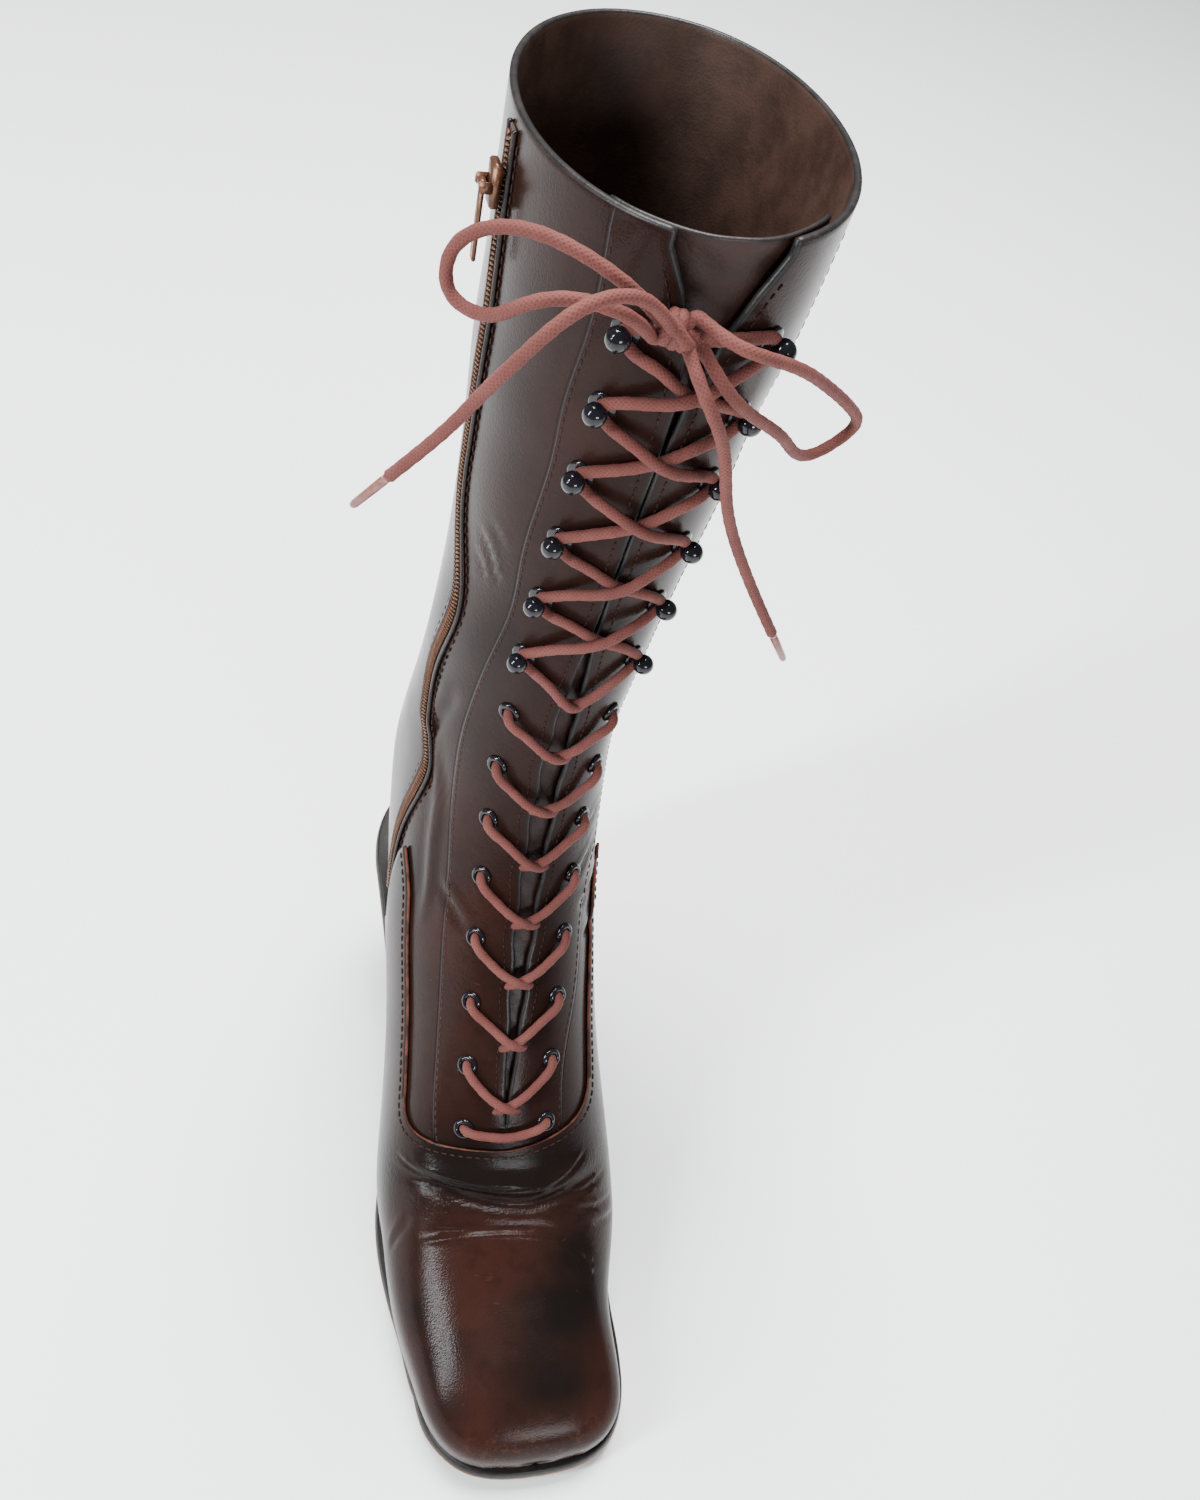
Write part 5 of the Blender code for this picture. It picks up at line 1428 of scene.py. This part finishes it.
def make_hook_laces():
    """Two strands that cross between the hooks and pass round the outer side of each neck."""
    knot = over_last(KNOT_PLACE, math.radians(KNOT_ANGLE), KNOT_HEIGHT)
    routes = []
    for first in (-1, 1):
        v, reach = ROW_PLACES[EYELET_ROWS], HALF_CHORDS[EYELET_ROWS]
        over = 1.7 if first < 0 else 0.0
        stops = [(v - 20.4, -first * 5.5, UNDER), (v - 19.4, -first * 2.6, -0.4 + over * 0.4),
                 (v - 17.2, first * 1.2, 1.9 + over), (v - 10.6, first * 7.4, 2.2),
                 (v - 3.6, first * (reach - 2.4), OVER_HOOK), (v, first * (reach + 0.2), AT_NECK)]
        side = first
        for row in range(EYELET_ROWS, len(ROW_PLACES)):
            place, out = ROW_PLACES[row], HALF_CHORDS[row]
            if row > EYELET_ROWS:
                stops.append((place - 3.2, side * (out - 2.4), OVER_HOOK))
                stops.append((place, side * (out + 0.2), AT_NECK))
            stops.append((place + 3.0, side * (out - 2.2), OVER_HOOK))
            if row < len(ROW_PLACES) - 1:
                step = ROW_PLACES[row + 1] - place
                high = STRAND_HIGH if TOP_STRAND[row] == side else STRAND_LOW
                beside = 2.0 + 0.35 * (high - OVER_HOOK)
                sag = 1.2 * math.sin(row * 1.9 + side)
                stops.append((place + 0.28 * step, side * 8.6, beside))
                stops.append((place + 0.5 * step - 0.8 + 0.4 * sag, 0.3 * sag, high))
                stops.append((place + 0.72 * step, -side * 8.6, beside))
            side = -side
        line = lace_points(stops)
        end = knot + np.array((-1.76 * side, -1.0, -2.0))
        before = line[-1] + (end - line[-1]) * 0.5 + np.array((0.0, -1.2, 0.6))
        routes.append(np.concatenate([line[:-1], smooth_route([line[-1], before, end], 0.8)]))
    nodes = ["lace_vee_09"] + [f"lace_cross_{row:02d}" for row in range(10, 15)]
    ride_boot(add_tubes("lace_hooked", routes, LACE_RADIUS, lace), "lace", *nodes)
    return knot


make_eyelet_laces()
knot_centre = make_hook_laces()


def make_knot(centre):
    """The knot: two wraps, a strand across its front and the roots of the loops and ends."""
    axes = np.array(seat(KNOT_PLACE, math.radians(KNOT_ANGLE), KNOT_HEIGHT).to_3x3())

    def at(points):
        return centre + np.asarray(points, float) @ axes.T

    turns = np.linspace(-0.6, 4.2 * math.pi - 0.6, 90)
    wrap = np.column_stack([-2.1 + 4.2 * turns / turns[-1] + 0.3 * np.sin(turns * 1.3), 3.0 * np.sin(turns),
                            2.8 * np.cos(turns)])
    strand = smooth_route(((-4.4, 1.4, -0.6), (-3.0, 3.2, 1.6), (0.2, 2.2, 3.6), (2.9, -0.9, 2.8),
                           (4.4, -2.8, -0.4)), KNOT_STEP)
    middle = smooth_route(((-4.2, 0.2, -0.2), (0.0, 0.3, 0.0), (4.2, -0.6, -0.2)), KNOT_STEP)
    roots = []
    for route, both in ((LOOP_INNER, True), (LOOP_OUTER, True), (END_INNER, False), (END_OUTER, False)):
        for tip, before in ((route[0], route[1]), (route[-1], route[-2]))[:2 if both else 1]:
            tip = np.array(tip, float)
            ahead = unit(tip - np.array(before, float))
            roots.append(smooth_route((tip, tip + 1.6 * ahead, centre + 0.3 * (tip - centre)), KNOT_STEP))
    piece = add_tubes("lace_bow_knot", [at(wrap), at(strand), at(middle)] + roots, LACE_RADIUS, lace)
    return ride_boot(piece, "lace", "lace_knot")


bow_knot = make_knot(knot_centre)


def make_aglet(name, start, ahead):
    """A slim tip that narrows a little, with a pressed ring near its root."""
    profile = ((0.9, 0.0), (AGLET_RADIUS, 0.25), (AGLET_RADIUS, 1.6), (1.0, 1.9), (1.0, 2.2),
               (AGLET_RADIUS, 2.5), (1.12, 8.0), (1.05, 13.6), (0.85, 14.6), (0.45, AGLET_LENGTH))
    piece = turned(name.replace("lace", "tip"), profile, 24, aglet_plastic, False)
    place = Vector(ahead).to_track_quat("Z", "Y").to_matrix().to_4x4()
    place.translation = Vector(world(start))
    piece.matrix_world = place
    return ride_boot(piece, "aglet", name)


def make_bow():
    """The two loops and the two ends with their aglets, each a round tube."""
    for name, route in (("lace_loop_inner", LOOP_INNER), ("lace_loop_outer", LOOP_OUTER),
                        ("lace_end_inner", END_INNER), ("lace_end_outer", END_OUTER)):
        line = smooth_route(route, 1.0)
        piece = add_tubes(name.replace("lace", "bow"), [line], LACE_RADIUS, lace)
        ride_boot(piece, "lace", name)
        tips = []
        if "end" in name:
            ahead = unit(np.subtract(route[-1], route[-2]))
            tips = [make_aglet(name.replace("end", "aglet"), np.array(route[-1]) - ahead * 0.4, ahead)]
        if name == "lace_loop_inner":
            tips = [bow_knot]


make_bow()


# Zip

# Points along the zip, and sizes in millimetres: the tape's half width and its faces' heights, the
# teeth's pitch, size, height and distance from the middle, the leather lips and the stitches beside
ZIP_POINTS = 900
TAPE_POINTS = 240
TAPE_HALF = 3.0
TAPE_TOP = 0.55
TAPE_LOW = 0.1
TOOTH_PITCH = 1.3
TOOTH_SIZE = (2.5, 0.78, 1.05)
TOOTH_HEIGHT = 1.15
TOOTH_ASIDE = 0.95
LIP_RADIUS = 0.75
SEAM_ASIDE = 5.0
SEAM_HEIGHT = 0.12


def zip_frame(height, offset=0.0, count=ZIP_POINTS):
    """Points along the zip moved sideways by an offset, and the directions along, across and out."""
    places = np.linspace(ZIP_ROUTE[-1][0], ZIP_ROUTE[0][0], count)
    angles = zip_angle(places)
    middle = over_skin(places, angles, height)
    _, _, _, normal = last_frame(places, angles)
    ahead = unit(np.gradient(middle, axis=0))
    across = np.cross(ahead, normal)
    return middle + across * offset, ahead, across, normal


def make_tape():
    shares = np.linspace(-1.0, 1.0, 9)
    middle, _, across, normal = zip_frame(0.0, count=TAPE_POINTS)
    line = middle[:, None] + across[:, None] * shares[:, None] * TAPE_HALF
    faces = face_grid(TAPE_POINTS, len(shares), None)[:, ::-1]
    strip = leather_sheet("zip_tape", line + normal[:, None] * TAPE_TOP, line + normal[:, None] * TAPE_LOW,
                          faces, [tape] * 3, {})
    ride_boot(strip, "zip_teeth", "zip")


def make_teeth():
    """Two rows of teeth, half a pitch apart."""
    middle, ahead, across, normal = zip_frame(TOOTH_HEIGHT)
    length = lengths_along(middle)

    def at_teeth(values, at):
        return np.stack([np.interp(at, length, values[:, k]) for k in range(3)], -1)

    centres, runs, ups = [], [], []
    for side, shift in ((-1, 0.0), (1, TOOTH_PITCH / 2)):
        at = np.arange(1.0 + shift, length[-1] - 1.0, TOOTH_PITCH)
        wide = at_teeth(across, at)
        centres.append(at_teeth(middle, at) + wide * side * TOOTH_ASIDE)
        runs.append(wide + at_teeth(ahead, at) * 0.15 * side)
        ups.append(at_teeth(normal, at))
    teeth = add_beads("zip_teeth_coil", np.concatenate(centres), np.concatenate(runs), np.concatenate(ups),
                      TOOTH_SIZE, bronze)
    ride_boot(teeth, "zip_teeth")


def make_zip_sides():
    """The leather's rolled edges beside the tape, and the stitches beside them."""
    lips = [zip_frame(TAPE_TOP, offset)[0] for offset in (-TAPE_HALF, TAPE_HALF)]
    ride_boot(add_tubes("zip_leather_lips", lips, LIP_RADIUS, lip_leather, sides=10), "upper_leather")
    beside = []
    pick = np.arange(6, ZIP_POINTS - 6, 11)
    for offset in (-SEAM_ASIDE, SEAM_ASIDE):
        middle, ahead, _, normal = zip_frame(SEAM_HEIGHT, offset)
        beside.append((middle[pick], ahead[pick], normal[pick]))
    centres, ahead, normal = (np.concatenate([part[k] for part in beside]) for k in range(3))
    size = (STITCH_LENGTH, STITCH_WIDTH, STITCH_HEIGHT)
    ride_boot(add_beads("zip_stitches", centres, ahead, normal, size, dark_thread), "upper_leather")


make_tape()
make_teeth()
make_zip_sides()


def bevelled(name, boxes, material, width=0.35):
    """Rounded blocks in one piece; each is (low corner, high corner, narrowing of its top end)."""
    form = bmesh.new()
    for low, high, narrow in boxes:
        made = bmesh.ops.create_cube(form, size=1.0)
        low, high = np.array(low, float), np.array(high, float)
        for corner in made["verts"]:
            share = np.array(corner.co) + 0.5
            spot = low + (high - low) * share
            if share[1] < 0.5:
                spot[0] *= narrow
            corner.co = Vector(spot * MM)
    bmesh.ops.bevel(form, geom=form.edges[:], offset=width * MM, segments=3, affect="EDGES")
    mesh = bpy.data.meshes.new(name)
    form.to_mesh(mesh)
    form.free()
    mesh.materials.append(material)
    mesh.polygons.foreach_set("use_smooth", np.ones(len(mesh.polygons), bool))
    return link(name, mesh)


# Blocks of the slider, with two posts for its bar, and of the pull tab, with a bar at its top
SLIDER_BLOCKS = (((-3.6, -5.0, 0.0), (3.6, 5.0, 2.2), 0.72), ((-2.9, -1.4, 1.5), (-1.9, 1.4, 5.1), 1.0),
                 ((1.9, -1.4, 1.5), (2.9, 1.4, 5.1), 1.0))
PULL_BLOCKS = (((-1.5, -19.0, -0.5), (1.5, 0.6, 0.5), 1.0), ((-1.5, -0.9, -0.9), (1.5, 0.9, 0.9), 1.0))
SLIDER_HEIGHT = 1.95
BAR_HEIGHT = 3.9


def make_slider():
    point, up, round_it, normal = last_frame(SLIDER_PLACE, float(zip_angle([SLIDER_PLACE])[0]))
    place = Matrix(np.column_stack([round_it, up, normal]).tolist()).to_4x4()
    place.translation = Vector(world(point + normal * SLIDER_HEIGHT))
    slider = bevelled("zip_slider_body", SLIDER_BLOCKS, bronze)
    slider.matrix_world = place
    ride_boot(slider, "zip_metal", "zip_slider")
    pull = bevelled("zip_pull_tab", PULL_BLOCKS, bronze, 0.25)
    pull.matrix_world = place @ Matrix.Translation((0.0, 0.0, BAR_HEIGHT * MM))
    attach(pull, "pull")
    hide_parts("zip_pull")


make_slider()


# Stitches

# The topline's arc per radian near its corner and along its wings, and where its stitches end
CORNER_ARC = 38.0
WING_ARC = 36.0
VAMP_STITCH_END = 197.0


def facing_line(side, inset, low, high):
    v = np.linspace(low, high, 500)
    return v, side * (throat_edge(v) + inset / section(v)["inner"])


def stay_line(stops, inset, low, high):
    v = np.linspace(low, high, 500)
    u = stay_angle(stops, v)
    return v, u - np.sign(u) * inset / section(v)["inner"]


def topline(inset):
    """The vamp's top line as places and angles, moved down the vamp by an inset."""
    v, u = [], []
    across = np.sin(np.linspace(0.0, math.pi / 2, 120))
    low = VAMP_DIP - inset
    for k, side in ((0, -1), (1, 1)):
        line = np.array(VAMP_LINES[k])
        corner = math.radians(line[0, 1]) + inset / CORNER_ARC
        front_v = VAMP_CORNER - (VAMP_CORNER - low) * round_off(across, VAMP_ROUND)
        front_u = corner * across
        wing_v = np.linspace(VAMP_CORNER + 1.0, VAMP_STITCH_END, 120)
        wing_u = np.radians(np.interp(wing_v, line[:, 0], line[:, 1])) + inset / WING_ARC
        v.append(np.concatenate([front_v, wing_v]))
        u.append(side * np.concatenate([front_u, wing_u]))
    return np.concatenate([v[0][::-1], v[1][1:]]), np.concatenate([u[0][::-1], u[1][1:]])


FACING_INSET, FACING_FROM, FACING_TO = 2.7, 107.0, 404.0
FACING_SIZE = (1.8, 0.5, 0.42)
FACING_PITCH = 2.4
STAY_INSET, STAY_HEIGHT, STAY_TO = 0.9, -0.05, 406.0
TOPLINE_INSET = 2.3


def make_stitches():
    facing = [(*facing_line(side, FACING_INSET, FACING_FROM, FACING_TO), SEAM_HEIGHT, FACING_PITCH)
              for side in (-1, 1)]
    ride_boot(add_stitches("facing_stitches", facing, dark_thread, FACING_SIZE), "upper_leather")
    upper_rows = [(*stay_line(STAY_INNER, STAY_INSET, THREAD_CHANGE, STAY_TO), STAY_HEIGHT),
                  (*stay_line(STAY_OUTER, STAY_INSET, 100.0, STAY_TO), STAY_HEIGHT)]
    ride_boot(add_stitches("stay_stitches_dark", upper_rows, dark_thread), "upper_leather")
    lower_row = [(*stay_line(STAY_INNER, STAY_INSET, 99.0, THREAD_CHANGE), STAY_HEIGHT)]
    ride_boot(add_stitches("stay_stitches_tan", lower_row, tan_thread), "upper_leather")
    vamp_row = [(*topline(TOPLINE_INSET), VAMP_TOP + SEAM_HEIGHT)]
    ride_boot(add_stitches("vamp_stitches", vamp_row, dark_thread), "vamp_leather")


make_stitches()


# Floor, light and camera

FLOOR_HALF = 6.0
ROOM_COLOUR = (0.93, 0.96, 1.0, 1.0)
ROOM_STRENGTH = 0.3
DAYLIGHT = (0.93, 0.965, 1.0)
# Name, place and target in metres, width and height, power and colour
LIGHTS = (
    ("window", (-1.3, -0.45, 1.05), (0.0, -0.08, 0.1), (0.15, 1.0), 50.0, DAYLIGHT),
    ("front_window", (0.35, -1.6, 0.62), (0.0, -0.1, 0.1), (0.6, 0.3), 20.0, DAYLIGHT),
    ("ceiling", (0.05, 0.5, 2.1), (0.0, -0.02, 0.0), (1.1, 0.8), 150.0, (1.0, 1.0, 1.0)),
)
# The photo's camera: its place in metres, its directions, its length and middle in the photo's pixels,
# and the pixel that the view here is turned to
CAMERA_PLACE = Vector((-0.07218, -0.31543, 0.4774))
PHOTO_FORWARD = Vector((0.05575, 0.57900, -0.81342))
PHOTO_RIGHT = Vector((0.99798, -0.05713, 0.02774))
PHOTO_UP = Vector((0.03042, 0.81332, 0.58102))
PHOTO_LENGTH = 1474.44
PHOTO_MIDDLE = (600.0, 750.0)
VIEW_MIDDLE = (884.0, 578.0)
SENSOR = 36.0
LENS = 31.2
CLIP_NEAR, CLIP_FAR = 0.01, 50.0


def make_floor():
    mesh = bpy.data.meshes.new("floor")
    corners = [(x * FLOOR_HALF, y * FLOOR_HALF, 0) for x, y in ((-1, -1), (1, -1), (1, 1), (-1, 1))]
    mesh.from_pydata(corners, [], [(0, 1, 2, 3)])
    web = Web("pale_floor", 0.55)
    mesh.materials.append(web.finish(web.blend(web.spots(3.0), *FLOOR_PAIR)))
    link("floor", mesh)


def add_light(name, place, target, size, power, colour):
    lamp = bpy.data.lights.new(name, "AREA")
    lamp.shape = "RECTANGLE"
    lamp.size, lamp.size_y = size
    lamp.energy = power
    lamp.color = colour
    item = link(name, lamp)
    item.location = place
    item.rotation_euler = (Vector(target) - Vector(place)).to_track_quat("-Z", "Y").to_euler()


def make_camera():
    data = bpy.data.cameras.new("camera")
    data.sensor_width = SENSOR
    data.lens = LENS
    data.clip_start, data.clip_end = CLIP_NEAR, CLIP_FAR
    aside, down = [(here - middle) / PHOTO_LENGTH for here, middle in zip(VIEW_MIDDLE, PHOTO_MIDDLE)]
    ahead = (PHOTO_FORWARD + PHOTO_RIGHT * aside - PHOTO_UP * down).normalized()
    turn = PHOTO_FORWARD.normalized().rotation_difference(ahead)
    right = ahead.cross(turn @ PHOTO_UP.normalized()).normalized()
    place = Matrix((right, right.cross(ahead), -ahead)).transposed().to_4x4()
    place.translation = CAMERA_PLACE
    item = link("camera", data)
    item.matrix_world = place
    bpy.context.scene.camera = item


def make_room_light():
    room = bpy.data.worlds.new("soft_room")
    room.use_nodes = True
    background = room.node_tree.nodes["Background"]
    background.inputs["Color"].default_value = ROOM_COLOUR
    background.inputs["Strength"].default_value = ROOM_STRENGTH
    bpy.context.scene.world = room


make_floor()
make_camera()
make_room_light()
for light in LIGHTS:
    add_light(*light)
